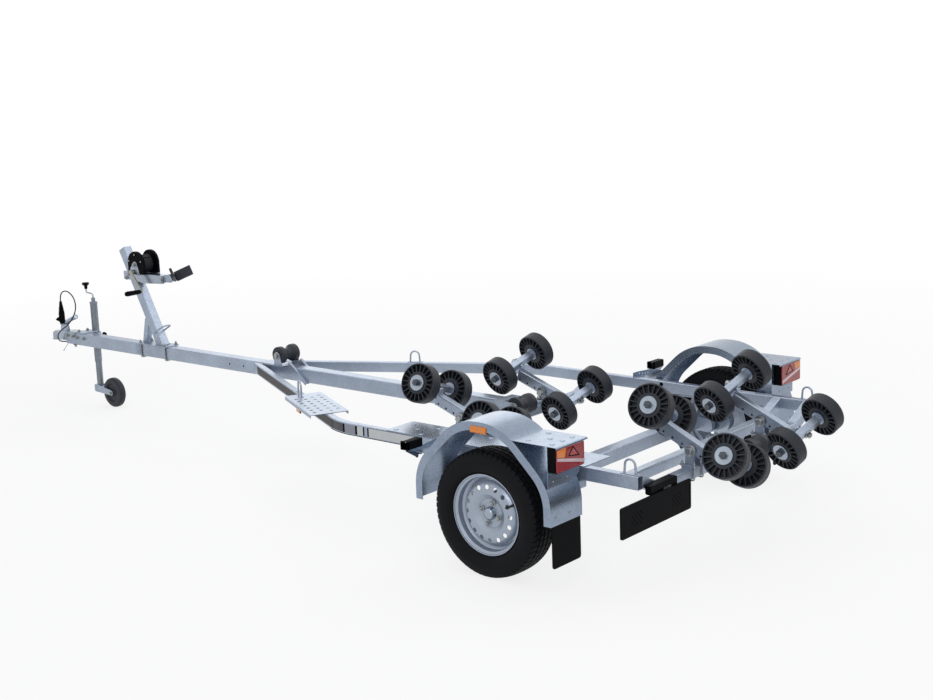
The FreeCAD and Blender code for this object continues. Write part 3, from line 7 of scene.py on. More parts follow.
import json
import logging
import math
from dataclasses import dataclass, field
from enum import Enum
from typing import Any, Callable, Optional, Sequence

import bmesh
import bpy
from mathutils import Matrix, Quaternion, Vector


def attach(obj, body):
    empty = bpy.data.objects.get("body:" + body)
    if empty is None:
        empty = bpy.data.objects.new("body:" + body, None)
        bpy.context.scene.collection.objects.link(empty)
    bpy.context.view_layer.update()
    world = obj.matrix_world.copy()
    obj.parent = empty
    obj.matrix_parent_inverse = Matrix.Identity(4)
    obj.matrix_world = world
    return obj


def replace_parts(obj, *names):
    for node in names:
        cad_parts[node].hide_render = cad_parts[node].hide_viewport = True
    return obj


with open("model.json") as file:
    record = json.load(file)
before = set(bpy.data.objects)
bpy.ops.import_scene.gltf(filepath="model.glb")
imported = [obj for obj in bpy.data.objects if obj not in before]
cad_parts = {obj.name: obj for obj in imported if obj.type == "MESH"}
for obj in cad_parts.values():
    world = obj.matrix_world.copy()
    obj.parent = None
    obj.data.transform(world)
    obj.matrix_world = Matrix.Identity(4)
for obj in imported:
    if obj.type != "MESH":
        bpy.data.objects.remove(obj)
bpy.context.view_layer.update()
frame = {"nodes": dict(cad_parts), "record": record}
NODES = frame["nodes"]
LOG = logging.getLogger("trailer")

Colour = tuple[float, float, float, float]
Place = Sequence[float]
Tree = bpy.types.ShaderNodeTree
Node = bpy.types.Node
Socket = bpy.types.NodeSocket
MM = 0.001
AXLE_BACK = 1869.0
PRISM_DEEP_MM = 0.2
SHEET_MM = 4.0
WELD_STEP_MM = 2.2
WELD_RIPPLE = 0.16
CHASSIS = "chassis"
SIDES = {-1: "left", 1: "right"}
BEAM_Y = {"front": 690.0, "rear": -600.0}


class Pattern(Enum):
    """Noise and cell patterns that a finish can be mottled with."""

    CLOUDS = "ShaderNodeTexNoise"
    SPANGLE = "ShaderNodeTexVoronoi"


def linear(code: str) -> Colour:
    """Turns an sRGB hex code into a linear colour.

    Args:
        code: Six hex digits.

    Returns:
        Red, green, blue and an alpha of 1.
    """
    parts = [int(code[i:i + 2], 16) / 255 for i in (0, 2, 4)]
    red, green, blue = (p / 12.92 if p <= 0.04045 else ((p + 0.055) / 1.055) ** 2.4 for p in parts)
    return red, green, blue, 1.0


def add_node(tree: Tree, kind: str, inputs: Optional[dict[Any, Any]] = None, **settings: Any) -> Node:
    """Adds a shader node.

    Args:
        tree: The node tree that it joins.
        kind: Its type's identifier.
        inputs: Values or output sockets for its input sockets, by name or number.
        settings: Properties of the node itself.

    Returns:
        The new node.
    """
    made = tree.nodes.new(kind)
    for name, value in settings.items():
        setattr(made, name, value)
    for name, value in (inputs or {}).items():
        if isinstance(value, bpy.types.NodeSocket):
            tree.links.new(value, made.inputs[name])
        else:
            made.inputs[name].default_value = value
    return made


def add_texture(tree: Tree, kind: str, place: Socket, cell_mm: float, **inputs: float) -> Node:
    """Adds a texture whose cells have a size in millimetres."""
    return add_node(tree, kind, {"Vector": place, "Scale": 1 / (cell_mm * MM), **inputs})


def add_object(name: str, data: bpy.types.ID) -> bpy.types.Object:
    """Adds an object to the scene."""
    made = bpy.data.objects.new(name, data)
    bpy.context.scene.collection.objects.link(made)
    return made


def add_material(name: str) -> tuple[bpy.types.Material, Tree, Node]:
    """Adds a material, and gives its node tree and its shader with it."""
    made = bpy.data.materials.new(name)
    made.use_nodes = True
    return made, made.node_tree, made.node_tree.nodes["Principled BSDF"]


@dataclass(frozen=True)
class Finish:
    """A surface finish: a mottled colour under slow blooms, a mottled gloss and a fine relief.

    Its slot is the record's material slot that it stands for.
    """

    name: str
    slot: str
    colour: str
    shade: str
    metallic: float = 0.0
    roughness: float = 0.5
    roughness_swing: float = 0.08
    cell_mm: float = 40.0
    pattern: Pattern = Pattern.CLOUDS
    bloom: float = 0.0
    bloom_mm: float = 120.0
    relief_mm: float = 0.0
    grain_mm: float = 1.0
    prism_mm: float = 0.0
    coat: float = 0.0
    sheen_level: float = 0.5

    def material(self) -> bpy.types.Material:
        """The finish as a material, made once."""
        found = bpy.data.materials.get(self.name)
        if found:
            return found
        made, tree, shader = add_material(self.name)
        place = add_node(tree, "ShaderNodeTexCoord").outputs["Object"]
        self._colour(tree, shader, place)
        self._relief(tree, shader, place)
        shader.inputs["Metallic"].default_value = self.metallic
        shader.inputs["Coat Weight"].default_value = self.coat
        shader.inputs["Specular IOR Level"].default_value = self.sheen_level
        return made

    def _colour(self, tree: Tree, shader: Node, place: Socket) -> None:
        """Mottles colour and roughness with the finish's pattern."""
        spots = add_texture(tree, self.pattern.value, place, self.cell_mm)
        if self.pattern is Pattern.SPANGLE:
            split = add_node(tree, "ShaderNodeSeparateColor", {"Color": spots.outputs["Color"]})
            level = split.outputs["Red"]
        else:
            level = spots.outputs["Fac"]
        tint = add_node(tree, "ShaderNodeMix", {0: level, 6: linear(self.colour), 7: linear(self.shade)},
                        data_type="RGBA").outputs[2]
        if self.bloom:
            slow = add_texture(tree, Pattern.CLOUDS.value, place, self.bloom_mm, Detail=4.0, Roughness=0.6)
            lift = add_node(tree, "ShaderNodeMapRange", {
                "Value": slow.outputs["Fac"], "From Min": 0.3, "From Max": 0.7,
                "To Min": 1 - self.bloom, "To Max": 1 + self.bloom})
            tint = add_node(tree, "ShaderNodeHueSaturation", {
                "Color": tint, "Value": lift.outputs["Result"]}).outputs["Color"]
        tree.links.new(tint, shader.inputs["Base Color"])
        gloss = add_node(tree, "ShaderNodeMapRange", {
            "Value": level, "To Min": self.roughness - self.roughness_swing,
            "To Max": self.roughness + self.roughness_swing})
        tree.links.new(gloss.outputs["Result"], shader.inputs["Roughness"])

    def _relief(self, tree: Tree, shader: Node, place: Socket) -> None:
        """Adds the fine relief, or a lens's rows of prisms."""
        if self.prism_mm:
            height = add_texture(tree, "ShaderNodeTexChecker", place, self.prism_mm)
        elif self.relief_mm:
            height = add_texture(tree, Pattern.CLOUDS.value, place, self.grain_mm, Detail=3.0)
        else:
            return
        deep = (self.relief_mm or PRISM_DEEP_MM) * MM
        bump = add_node(tree, "ShaderNodeBump", {"Height": height.outputs["Fac"], "Strength": 1.0,
                                                 "Distance": deep})
        tree.links.new(bump.outputs["Normal"], shader.inputs["Normal"])


# Hot-dip galvanised steel: a matt, blue-grey zinc skin with faint spangles and slow grey blooms.
GALVANISED = Finish("hot_dip_galvanised_steel", "galvanised_steel", "A2ADBD", "97A2B3", 0.75, 0.37,
                    0.02, 9.0, Pattern.SPANGLE, bloom=0.10, bloom_mm=170.0, relief_mm=0.05,
                    grain_mm=12.0)
# Mill-galvanised sheet on the mudguards and plates: smoother, with wide soft blooms.
ZINC_SHEET = Finish("galvanised_sheet", "galvanised_steel", "8F9CAE", "8794A6", 0.88, 0.27, 0.006, 14.0,
                    Pattern.SPANGLE, bloom=0.09, bloom_mm=260.0)
# Bright electroplated zinc on screws, levers and discs.
ZINC = Finish("zinc_plated_steel", "zinc_plate", "A6B0BD", "949EAB", 1.0, 0.26, 0.03, 10.0, bloom=0.05,
              bloom_mm=40.0)
# Zinc plating with a clear passivate on the nuts.
NUT_ZINC = Finish("passivated_zinc_fasteners", "zinc_plate", "A2A6A8", "8E9397", 1.0, 0.30, 0.06, 4.0)
# Dip-galvanised jack tubes, gone dull and dark.
DULL_ZINC = Finish("dull_galvanised_tube", "galvanised_steel", "828A93", "737B84", 0.85, 0.42, 0.06,
                   8.0, Pattern.SPANGLE, bloom=0.12, bloom_mm=60.0, relief_mm=0.1, grain_mm=4.0)
# Zinc-nickel on the crank's forged arm: a warm, dull grey.
DULL_STEEL = Finish("zinc_nickel_plated_steel", "zinc_plate", "A9A8A0", "9A9992", 0.9, 0.38, 0.05, 6.0)
# Oiled steel on the rollers' shaft ends and nuts.
DARK_STEEL = Finish("oiled_steel", "zinc_plate", "5C6167", "484D53", 0.9, 0.36, 0.06, 6.0)
# Drawn steel rope wire.
WIRE = Finish("drawn_steel_wire", "zinc_plate", "A9AEB3", "90969C", 1.0, 0.34, 0.05, 2.0)
# Polyester powder coat in silver on the pressed wheel.
SILVER = Finish("silver_powder_coat", "silver_paint", "A7B1C0", "9DA7B6", 0.55, 0.36, 0.03, 3.0,
                relief_mm=0.05, grain_mm=1.5)
# Vulcanised tyre rubber: dull black, with a fine skin from the mould.
TYRE = Finish("tyre_rubber", "tyre", "0B0C0F", "131418", 0.0, 0.66, 0.08, 20.0, relief_mm=0.2,
              grain_mm=2.5, sheen_level=0.12)
# Moulded rubber of the hull rollers: blue-black, with a soft sheen from the mould.
RUBBER = Finish("moulded_black_rubber", "black_rubber", "1C2027", "292E37", 0.0, 0.5, 0.08, 15.0,
                relief_mm=0.15, grain_mm=2.0, sheen_level=0.35)
# Injection-moulded polypropylene.
PLASTIC = Finish("moulded_black_polypropylene", "black_plastic", "08090B", "0E0F12", 0.0, 0.42, 0.06,
                 12.0, relief_mm=0.08, sheen_level=0.03)
# Woven polyester strap, wound on the drum.
WEBBING = Finish("black_polyester_webbing", "black_plastic", "101115", "1C1D22", 0.0, 0.7, 0.05, 1.6,
                 relief_mm=0.4, grain_mm=1.6, sheen_level=0.3)
# Soft PVC of the lead.
LEAD = Finish("black_pvc_lead", "black_plastic", "101113", "18191C", 0.0, 0.5, 0.05, 6.0,
              relief_mm=0.05, sheen_level=0.3)
# Transparent coloured acrylic with rows of prisms moulded inside.
RED_LENS = Finish("red_acrylic", "red_lens", "A80F1A", "8E0C16", 0.0, 0.12, 0.02, 12.0, prism_mm=3.0,
                  coat=0.4)
RED_REFLEX = Finish("red_reflex_acrylic", "red_lens", "C4202B", "99121C", 0.0, 0.10, 0.02, 3.0,
                    prism_mm=2.0, coat=0.6)
AMBER_LENS = Finish("amber_acrylic", "amber_lens", "F08A1A", "E07A12", 0.0, 0.12, 0.02, 12.0,
                    prism_mm=3.5, coat=0.4)
# A pale pink band over the tail lamp's red lens: a painted highlight.
PINK_HIGHLIGHT_ACRYLIC = Finish("pink_painted_highlight_acrylic", "red_lens", "E3CDD3", "CDB6BE", 0.0, 0.10, 0.02, 6.0, prism_mm=2.5,
                    coat=0.5)
WHITE_LENS = Finish("white_acrylic", "amber_lens", "E6EBEF", "D3DADF", 0.0, 0.12, 0.02, 8.0,
                    prism_mm=3.0, coat=0.4)
# Vinyl film on the rails, cut in plain blocks.
DARK_FILM = Finish("dark_vinyl_film", "black_plastic", "2A2426", "332C2E", 0.0, 0.42, 0.03, 60.0,
                   sheen_level=0.15)
SLATE_FILM = Finish("slate_vinyl_film", "black_plastic", "4C4B52", "55545B", 0.0, 0.40, 0.03, 60.0,
                    sheen_level=0.2)
GREY_FILM = Finish("grey_vinyl_film", "black_plastic", "7F8492", "878C99", 0.0, 0.32, 0.03, 60.0,
                   coat=0.3)
PALE_FILM = Finish("pale_vinyl_film", "black_plastic", "C9CDD0", "BFC4C8", 0.0, 0.32, 0.03, 60.0,
                   coat=0.3)

# The finish of a solid that has only its slot to go by.
SLOT_FINISH = {finish.slot: finish for finish in (GALVANISED, ZINC, SILVER, TYRE, RUBBER, PLASTIC, RED_LENS,
                                                  AMBER_LENS)}
# Solids whose finish isn't their slot's own.
NODE_FINISH = {"mudguards": ZINC_SHEET, "step_plates": ZINC_SHEET, "jack_outer_tube": DULL_ZINC,
               "jack_inner_tube": DULL_ZINC, "winch_crank": DULL_STEEL}


def dress(thing: bpy.types.Object, finish: Finish) -> None:
    """Gives a piece one finish all over."""
    thing.data.materials.clear()
    thing.data.materials.append(finish.material())


def settle(made: bpy.types.Object, finish: Finish, body: str) -> None:
    """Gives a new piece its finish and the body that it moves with."""
    dress(made, finish)
    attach(made, body)
    LOG.info("%s rides on %s", made.name, body)


def facing(spot: Place, axis: Place, turn_deg: float = 0.0) -> Matrix:
    """A place whose own Z axis looks along a direction.

    Args:
        spot: Its origin in millimetres.
        axis: The direction.
        turn_deg: A further turn about that axis.

    Returns:
        The place as a matrix.
    """
    turn = Vector(axis).to_track_quat("Z", "Y").to_matrix().to_4x4()
    return Matrix.Translation(Vector(spot)) @ turn @ Matrix.Rotation(math.radians(turn_deg), 4, "Z")


def shift(x: float = 0.0, y: float = 0.0, z: float = 0.0) -> Matrix:
    """A place moved along the axes, without a turn."""
    return Matrix.Translation((x, y, z))


def upright(x: float, side: int = 1, z: float = 0.0) -> Matrix:
    """A place in a plane across the trailer, whose X, Y and Z axes look along its Y, its Z and a side."""
    return shift(x, 0, z) @ Matrix(((0, 0, side), (1, 0, 0), (0, 1, 0))).to_4x4()


def rectangle(left: float, low: float, right: float, high: float) -> list[Place]:
    """Corners of a rectangle, from its lowest left one and back up its left side."""
    return [(left, low), (right, low), (right, high), (left, high)]


def panel(half_wide: float, half_high: float) -> list[Place]:
    """Corners of a rectangle about its own middle."""
    return rectangle(-half_wide, -half_high, half_wide, half_high)


def circle(count: int) -> list[tuple[float, float]]:
    """Cosine and sine of each of evenly spaced angles round a circle."""
    return [(math.cos(a), math.sin(a)) for a in (2 * math.pi * i / count for i in range(count))]


def rounded(corners: Sequence[Place], radius: float, steps: int = 4, closed: bool = True) -> list[Vector]:
    """Rounds the corners of a bent bar or a plate's outline.

    Args:
        corners: The sharp corners.
        radius: The bend radius.
        steps: Points per bend, less one.
        closed: Whether the last corner leads back to the first.

    Returns:
        The rounded line.
    """
    spots = [Vector(c).to_3d() for c in corners]
    line = []
    for i, corner in enumerate(spots):
        if not closed and i in (0, len(spots) - 1):
            line.append(corner)
            continue
        before, after = spots[i - 1] - corner, spots[(i + 1) % len(spots)] - corner
        half = before.angle(after) / 2
        reach = min(radius / math.tan(half), 0.49 * before.length, 0.49 * after.length)
        first, last = corner + before.normalized() * reach, corner + after.normalized() * reach
        for k in range(steps + 1):
            t = k / steps
            line.append(first * (1 - t) ** 2 + corner * 2 * t * (1 - t) + last * t ** 2)
    return line


def inset(outline: Sequence[Vector], by: float) -> list[Vector]:
    """Sets a flat outline in from its own edge, whichever way round it runs."""
    count = len(outline)
    area = sum(outline[i].x * outline[(i + 1) % count].y - outline[(i + 1) % count].x * outline[i].y
               for i in range(count))
    way = 1 if area > 0 else -1
    moved = []
    for i, point in enumerate(outline):
        along = (outline[(i + 1) % count] - outline[i - 1]).normalized()
        moved.append(point + Vector((-along.y, along.x, 0)) * way * by)
    return moved


@dataclass
class Form:
    """A mesh under construction, made of skins between rings of points in millimetres."""

    mesh: bmesh.types.BMesh = field(default_factory=bmesh.new)

    def skin(self, rings: Sequence[Sequence[Vector]], closed: bool = False, capped: bool = True) -> None:
        """Joins rings of equally many points with faces.

        Args:
            rings: The rings, one after another.
            closed: Whether the last ring joins the first.
            capped: Whether an open skin is closed at both ends.
        """
        rows = [[self.mesh.verts.new(p) for p in ring] for ring in rings]
        following = rows[1:] + rows[:1] if closed else rows[1:]
        for one, two in zip(rows, following):
            for i in range(len(one)):
                j = (i + 1) % len(one)
                self.mesh.faces.new((one[i], one[j], two[j], two[i]))
        if capped and not closed:
            self.mesh.faces.new(list(reversed(rows[0])))
            self.mesh.faces.new(rows[-1])

    def turned(self, profile: Sequence[Place], place: Matrix, sides: int = 32, closed: bool = False) -> None:
        """Turns a profile of (along, radius) about the Z axis of a place."""
        self.skin([[place @ Vector((radius * cos, radius * sin, along)) for cos, sin in circle(sides)]
                   for along, radius in profile], closed=closed)

    def lobed(self, profile: Sequence[tuple[float, float, float]], place: Matrix, lobes: int) -> None:
        """Makes a knob of (along, radius, depth of lobe) rings about the Z axis of a place."""
        self.skin([[place @ Vector((r * math.cos(a), r * math.sin(a), along))
                    for a in (2 * math.pi * k / 60 for k in range(60))
                    for r in (radius + lobe * math.cos(lobes * a),)] for along, radius, lobe in profile])

    def prism(self, outline: Sequence[Place], depth: float, place: Matrix, edge: float = 1.0,
              bend: float = 0.0) -> None:
        """Pushes an outline along the Z axis of a place, with its edges broken.

        Args:
            outline: Corners in the place's own X and Y.
            depth: Length of the push.
            place: Where it starts.
            edge: Width of the broken edge.
            bend: Radius of the outline's corners.
        """
        line = rounded(outline, bend) if bend else [Vector(c).to_3d() for c in outline]
        inner = inset(line, edge)
        rings = [[place @ (p + Vector((0, 0, z))) for p in ring]
                 for ring, z in ((inner, 0), (line, edge), (line, depth - edge), (inner, depth))]
        self.skin(rings)

    def bar(self, line: Sequence[Vector], radius: float | Callable[[float], float], sides: int) -> None:
        """Runs a round bar along a line.

        Args:
            line: The points of its middle.
            radius: Its radius, or a function that gives it from the share of points passed.
            sides: Sides of its section.
        """
        count = len(line)
        side = None
        rings = []
        for i, spot in enumerate(line):
            along = (line[min(i + 1, count - 1)] - line[max(i - 1, 0)]).normalized()
            side = (side or along.orthogonal()) - along * (side or along.orthogonal()).dot(along)
            side.normalize()
            up = along.cross(side)
            size = radius(i / count) if callable(radius) else radius
            rings.append([spot + (side * cos + up * sin) * size for cos, sin in circle(sides)])
        self.skin(rings)

    def screw(self, spot: Place, axis: Place, flats: float, stub: float = 0.0, turn_deg: float = 0.0,
              washer: bool = True) -> None:
        """Adds a hexagon head or nut on its washer.

        Args:
            spot: Middle of the washer's seat.
            axis: Direction away from the seat.
            flats: Width across the flats.
            stub: Length of thread that stands out past a nut.
            turn_deg: Turn of the hexagon.
            washer: Whether there is a washer.
        """
        place = facing(spot, axis, turn_deg)
        low = 0.0
        if washer:
            low = 0.13 * flats
            self.turned([(0, 0.9 * flats), (0.8 * low, 0.92 * flats), (low, 0.88 * flats)], place, 28)
        point, high = flats / math.sqrt(3), low + 0.62 * flats
        self.turned([(low, point * 0.94), (low + 0.05 * flats, point), (high - 0.07 * flats, point),
                     (high, point * 0.9)], place, 6)
        if stub:
            tip = high + stub
            self.turned([(high - 1, 0.3 * flats), (tip - 1, 0.3 * flats), (tip, 0.24 * flats)], place, 16)

    def rivet(self, spot: Place, axis: Place, radius: float) -> None:
        """Adds a domed rivet head."""
        place = facing(spot, axis)
        self.turned([(0, radius), (0.25 * radius, radius * 0.97), (0.45 * radius, 0.75 * radius),
                     (0.55 * radius, 0.4 * radius)], place, 24)

    def weld(self, line: Sequence[Place], radius: float = 2.6) -> None:
        """Lays a rippled weld bead along a line of points."""
        spots = [Vector(p) for p in line]
        beads = [spots[0]]
        for one, two in zip(spots, spots[1:]):
            count = max(1, round((two - one).length / WELD_STEP_MM))
            beads += [one.lerp(two, (k + 1) / count) for k in range(count)]
        self.bar(beads, lambda share: radius * (1 + WELD_RIPPLE * math.sin(share * len(beads) * 2.1)), 8)

    def u_bolt(self, feet: tuple[Place, Place], drop: float, rod: float, flats: float,
               stub: float = 8.0) -> None:
        """Adds a U-bolt that hangs round a tube, with a nut and washer on each leg.

        Args:
            feet: Where its two legs pass the clamped plate.
            drop: Length of the legs below the plate.
            rod: Radius of the rod.
            flats: Width across the nuts' flats.
            stub: Thread past the nuts.
        """
        first, last = (Vector(f) for f in feet)
        way = Vector((0, 0, -1))
        bend = min(3 * rod, 0.45 * (last - first).length)
        line = [first - way * 2, first + way * drop, last + way * drop, last - way * 2]
        self.bar(rounded(line, bend, 6, closed=False), rod, 12)
        for foot in (first, last):
            self.screw(foot, -way, flats, stub)

    def piece(self, name: str, finish: Finish, body: str = CHASSIS, slot: str = "",
              angle_deg: float = 35.0) -> bpy.types.Object:
        """Turns the form into a finished piece that rides on a body.

        Args:
            name: The piece's name.
            finish: Its finish.
            body: The body that it moves with.
            slot: The record's slot that it stands for, where that isn't its finish's own. Not used.
            angle_deg: Edges sharper than this stay sharp.

        Returns:
            The new object.
        """
        bmesh.ops.recalc_face_normals(self.mesh, faces=self.mesh.faces)
        self.mesh.transform(Matrix.Scale(MM, 4) @ Matrix.Translation((0, -AXLE_BACK, 0)))
        data = bpy.data.meshes.new(name)
        self.mesh.to_mesh(data)
        self.mesh.free()
        data.shade_smooth()
        data.set_sharp_from_angle(angle=math.radians(angle_deg))
        made = add_object(name, data)
        settle(made, finish, body)
        return made


@dataclass
class RoadWheel:
    """One road wheel: its treaded tyre, its vented rim, and the nuts, cap and valve on it."""

    side: int
    middle_x: float = 958.0
    high: float = 286.0
    pitches: int = 62
    slant_pitch: float = 0.35
    groove_deep: float = 7.0
    rib_edge: float = 44.0
    stud_ring: float = 50.0
    stud_lead_deg: float = 17.0
    nut_face: float = 28.0
    cap_foot: float = 25.0
    hub_face: float = -18.0
    sheet: float = SHEET_MM
    vents: int = 16
    vent_ring: float = 120.0
    vent_radius: float = 10.5
    vent_lead_deg: float = 20.4
    valve_deg: float = 156.0

    @property
    def body(self) -> str:
        """The body that the wheel turns with."""
        return "wheel_" + SIDES[self.side]

    def build(self) -> None:
        """Makes all of the wheel's own pieces."""
        self._tyre()
        self._rim()
        self._trim()

    def _at(self, across: float, radius: float, angle: float) -> Vector:
        """A point of the wheel, across from its middle plane and round its axis."""
        return Vector((self.side * (self.middle_x + across), radius * math.cos(angle),
                       self.high + radius * math.sin(angle)))

    def _rows(self) -> list[tuple[float, float, str]]:
        """The tyre's section from one bead to the other, as (across, radius, kind of row)."""
        def crown(across: float) -> float:
            return self.high - 7.0 * (abs(across) / 68.0) ** 3

        wall = [(50, 170), (54, 181), (58, 185), (64, 189), (71, 195), (76.5, 202), (78.2, 205),
                (79.4, 205.6), (80.2, 209), (80.2, 214), (81.2, 220), (82, 228), (82, 237), (81.4, 241),
                (82.2, 242.4), (81.8, 244), (80.6, 250), (79, 257), (77.6, 262)]
        shoulder = [(75.6, 268), (72.4, 274), (68, 279)]
        half = [(x, r, "wall") for x, r in wall] + [(x, r, "block") for x, r in shoulder]
        for kind, deep, spots in (("block", 0.0, (60, 50, 45)), ("floor", self.groove_deep, (44, 37)),
                                  ("rib", 0.0, (36, 28, 19)), ("floor", self.groove_deep, (18, 11)),
                                  ("middle", 0.0, (10, 0))):
            half += [(x, crown(x) - deep, kind) for x in spots]
        mirrored = [(-x, r, kind) for x, r, kind in half[:-1]]
        return mirrored + list(reversed(half))

    def _tyre(self) -> None:
        """Makes the tyre, cutting slanted notches in the shoulders and fine cuts in the ribs."""
        cuts = {"block": ((0.04, 0.06, 0.22, 0.24), 6.0), "rib": ((0.52, 0.54, 0.62, 0.64), 5.0),
                "middle": ((0.52, 0.54, 0.60, 0.62), 3.0)}
        steps = sorted({0.0, 0.4, 0.8, *(t for spans, _ in cuts.values() for t in spans)})
        rows = self._rows()
        form = Form()
        rings = []
        for pitch in range(self.pitches):
            for step in steps:
                ring = []
                for across, radius, kind in rows:
                    deep = 0.0
                    if kind in cuts:
                        (_, first, last, _), most = cuts[kind]
                        if first <= step <= last:
                            fade = 1.0 if abs(across) < 70 else 0.6 if abs(across) < 74 else 0.35
                            deep = most * fade
                    slant = self.slant_pitch * max(abs(across) - self.rib_edge, 0) / 25
                    slant = math.copysign(slant, across)
                    ring.append(self._at(across, radius - deep,
                                         2 * math.pi * (pitch + step + slant) / self.pitches))
                rings.append(ring)
        form.skin(rings, closed=True)
        tyre = form.piece("road_tyre_" + SIDES[self.side], TYRE, self.body, angle_deg=30)
        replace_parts(tyre, "tyre_" + SIDES[self.side])

    def _rim(self) -> None:
        """Makes the pressed steel rim: a barrel with a deep well, and a dished disc with a ring of vents."""
        middle = facing((self.side * self.middle_x, 0, self.high), (self.side, 0, 0))
        name = SIDES[self.side]
        line = [(-64, 182), (-58, 182), (-52, 170), (-34, 170), (-26, 152), (14, 152), (24, 170), (52, 170),
                (58, 182), (64, 182)]
        inside = [(x, r - self.sheet) for x, r in reversed(line)]
        skin = rounded(line, 5, closed=False) + rounded(inside, 5, closed=False)
        barrel = Form()
        barrel.turned([(p.x, p.y) for p in skin], middle, 96, closed=True)
        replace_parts(barrel.piece("rim_barrel_" + name, SILVER, self.body, angle_deg=40), "rim_" + name)

        section = rounded([(27, 29), (27, 62), (43.5, 88), (46, 112), (44, 128), (34, 141), (18, 148)], 9,
                          closed=False)

        def face(radius: float) -> float:
            one, two = next(pair for pair in zip(section, section[1:]) if pair[1].y >= min(radius, 148))
            return one.x + (two.x - one.x) * (radius - one.y) / (two.y - one.y)

        low, high, share = 98.0, 142.0, 2 * math.pi / self.vents
        disc = Form()
        for first, last in ((29.0, low), (high, 148.0)):
            radii = [first, *(p.y for p in section if first < p.y < last), last]
            disc.turned([(face(r), r) for r in radii] + [(face(r) - self.sheet, r) for r in reversed(radii)],
                        middle, 96, closed=True)
        edge = [(share * (i / 6 - 0.5), low) for i in range(6)]
        edge += [(share / 2, low + (high - low) * i / 6) for i in range(6)]
        edge += [(-a, low + high - r) for a, r in edge]
        steps = [(1.0, 0.0), (0.55, 0.0), (0.2, 0.0), (0.05, 0.0), (0.0, 0.8)]
        steps += [(t, self.sheet - deep) for t, deep in reversed(steps)]
        for k in range(self.vents):
            start = math.radians(self.vent_lead_deg) + share * k
            rings = []
            for t, deep in steps:
                ring = []
                for a, r in edge:
                    turn = math.atan2(r - self.vent_ring, a * self.vent_ring)
                    a_hole = self.vent_radius * math.cos(turn) / self.vent_ring
                    r_hole = self.vent_ring + self.vent_radius * math.sin(turn)
                    radius = r_hole + (r - r_hole) * t
                    ring.append(self._at(face(radius) - deep, radius, start + a_hole + (a - a_hole) * t))
                rings.append(ring)
            disc.skin(rings, capped=False)
        disc.piece("rim_disc_" + name, SILVER, self.body, angle_deg=40)

        pad = Form()
        pad.turned([(self.hub_face - 2, 56), (self.hub_face + 4, 60), (22.4, 60), (22.8, 58)], middle, 64)
        pad.piece("hub_pad_" + name, GALVANISED, self.body)

    def _trim(self) -> None:
        """Makes the wheel nuts, the hub cap's rim and the valve."""
        name = SIDES[self.side]
        out = (self.side, 0, 0)
        nuts = Form()
        for i in range(4):
            turn = math.radians(self.stud_lead_deg + 90 * i)
            spot = self._at(self.nut_face, self.stud_ring, turn)
            place = facing(spot, out)
            nuts.turned([(-3, 9), (0, 12.5), (3, 13.5), (4, 12)], place, 32)
            nuts.screw(spot + Vector(out) * 3.5, out, 19, 4, 15 * i, washer=False)
        nuts.piece("wheel_nuts_" + name, NUT_ZINC, self.body)
        cap = Form()
        place = facing((self.side * (self.middle_x + self.cap_foot), 0, self.high), out)
        cap.turned([(-10, 28.8), (-4, 29.4), (-2, 31), (1, 31.4), (3, 29.6), (14, 27.6), (20, 26.2),
                    (25, 22.4), (27.4, 15), (27.9, 6)], place, 48)
        cap.piece("hub_cap_" + name, ZINC, self.body, angle_deg=50)
        valve = Form()
        lean = math.radians(self.valve_deg)
        place = facing(self._at(36, 148, lean), (self.side * 0.45, -math.cos(lean), -math.sin(lean)))
        valve.turned([(-4, 7.5), (2, 7.5), (5, 6), (22, 4.6), (26, 4.2), (27, 5.2), (37, 5.0), (39, 3.6)],
                     place, 20)
        valve.piece("valve_" + name, LEAD, self.body, slot="black_rubber")


@dataclass
class HullRoller:
    """A pair of hull rollers on one cross-axle: the bands of their treads, their discs and nuts."""

    tag: str
    middle: Vector
    axis: Vector
    reach: float = 145.0
    radius: float = 98.0
    disc_at: float = 183.5
    disc_radius: float = 39.4
    nut_at: float = 191.5

    def build(self) -> None:
        """Makes the bands on the rollers' body, and the discs and nuts on the cross-axle's."""
        treads, discs, nuts = Form(), Form(), Form()
        for way in (-1, 1):
            out = self.axis * way
            place = facing(self.middle + out * self.reach, out)
            for low in (-28.5, -14, 0.5, 15):
                ring = [(0, -0.6), (0.8, 0.6), (7, 0.8), (12.7, 0.6), (13.5, -0.6), (7, -2)]
                treads.turned([(low + x, self.radius + r) for x, r in ring], place, 72, closed=True)
            face = facing(self.middle + out * (self.disc_at - 0.4), out)
            discs.turned([(0, self.disc_radius), (0.9, self.disc_radius - 0.4), (1.1, 33), (0.8, 31.5),
                          (0.8, 20), (0.9, 15)], face, 64)
            nuts.screw(self.middle + out * (self.disc_at + 0.4), out, 29, 0, 12, washer=False)
            stub = facing(self.middle + out * (self.nut_at - 1), out)
            nuts.turned([(0, 6.4), (12, 6.4), (13.4, 5.2)], stub, 16)
        treads.piece("roller_treads_" + self.tag, RUBBER, "rollers_" + self.tag, angle_deg=25)
        discs.piece("roller_discs_" + self.tag, ZINC, "cross_axle_" + self.tag, angle_deg=40)
        nuts.piece("roller_nuts_" + self.tag, DARK_STEEL, "cross_axle_" + self.tag, angle_deg=40)


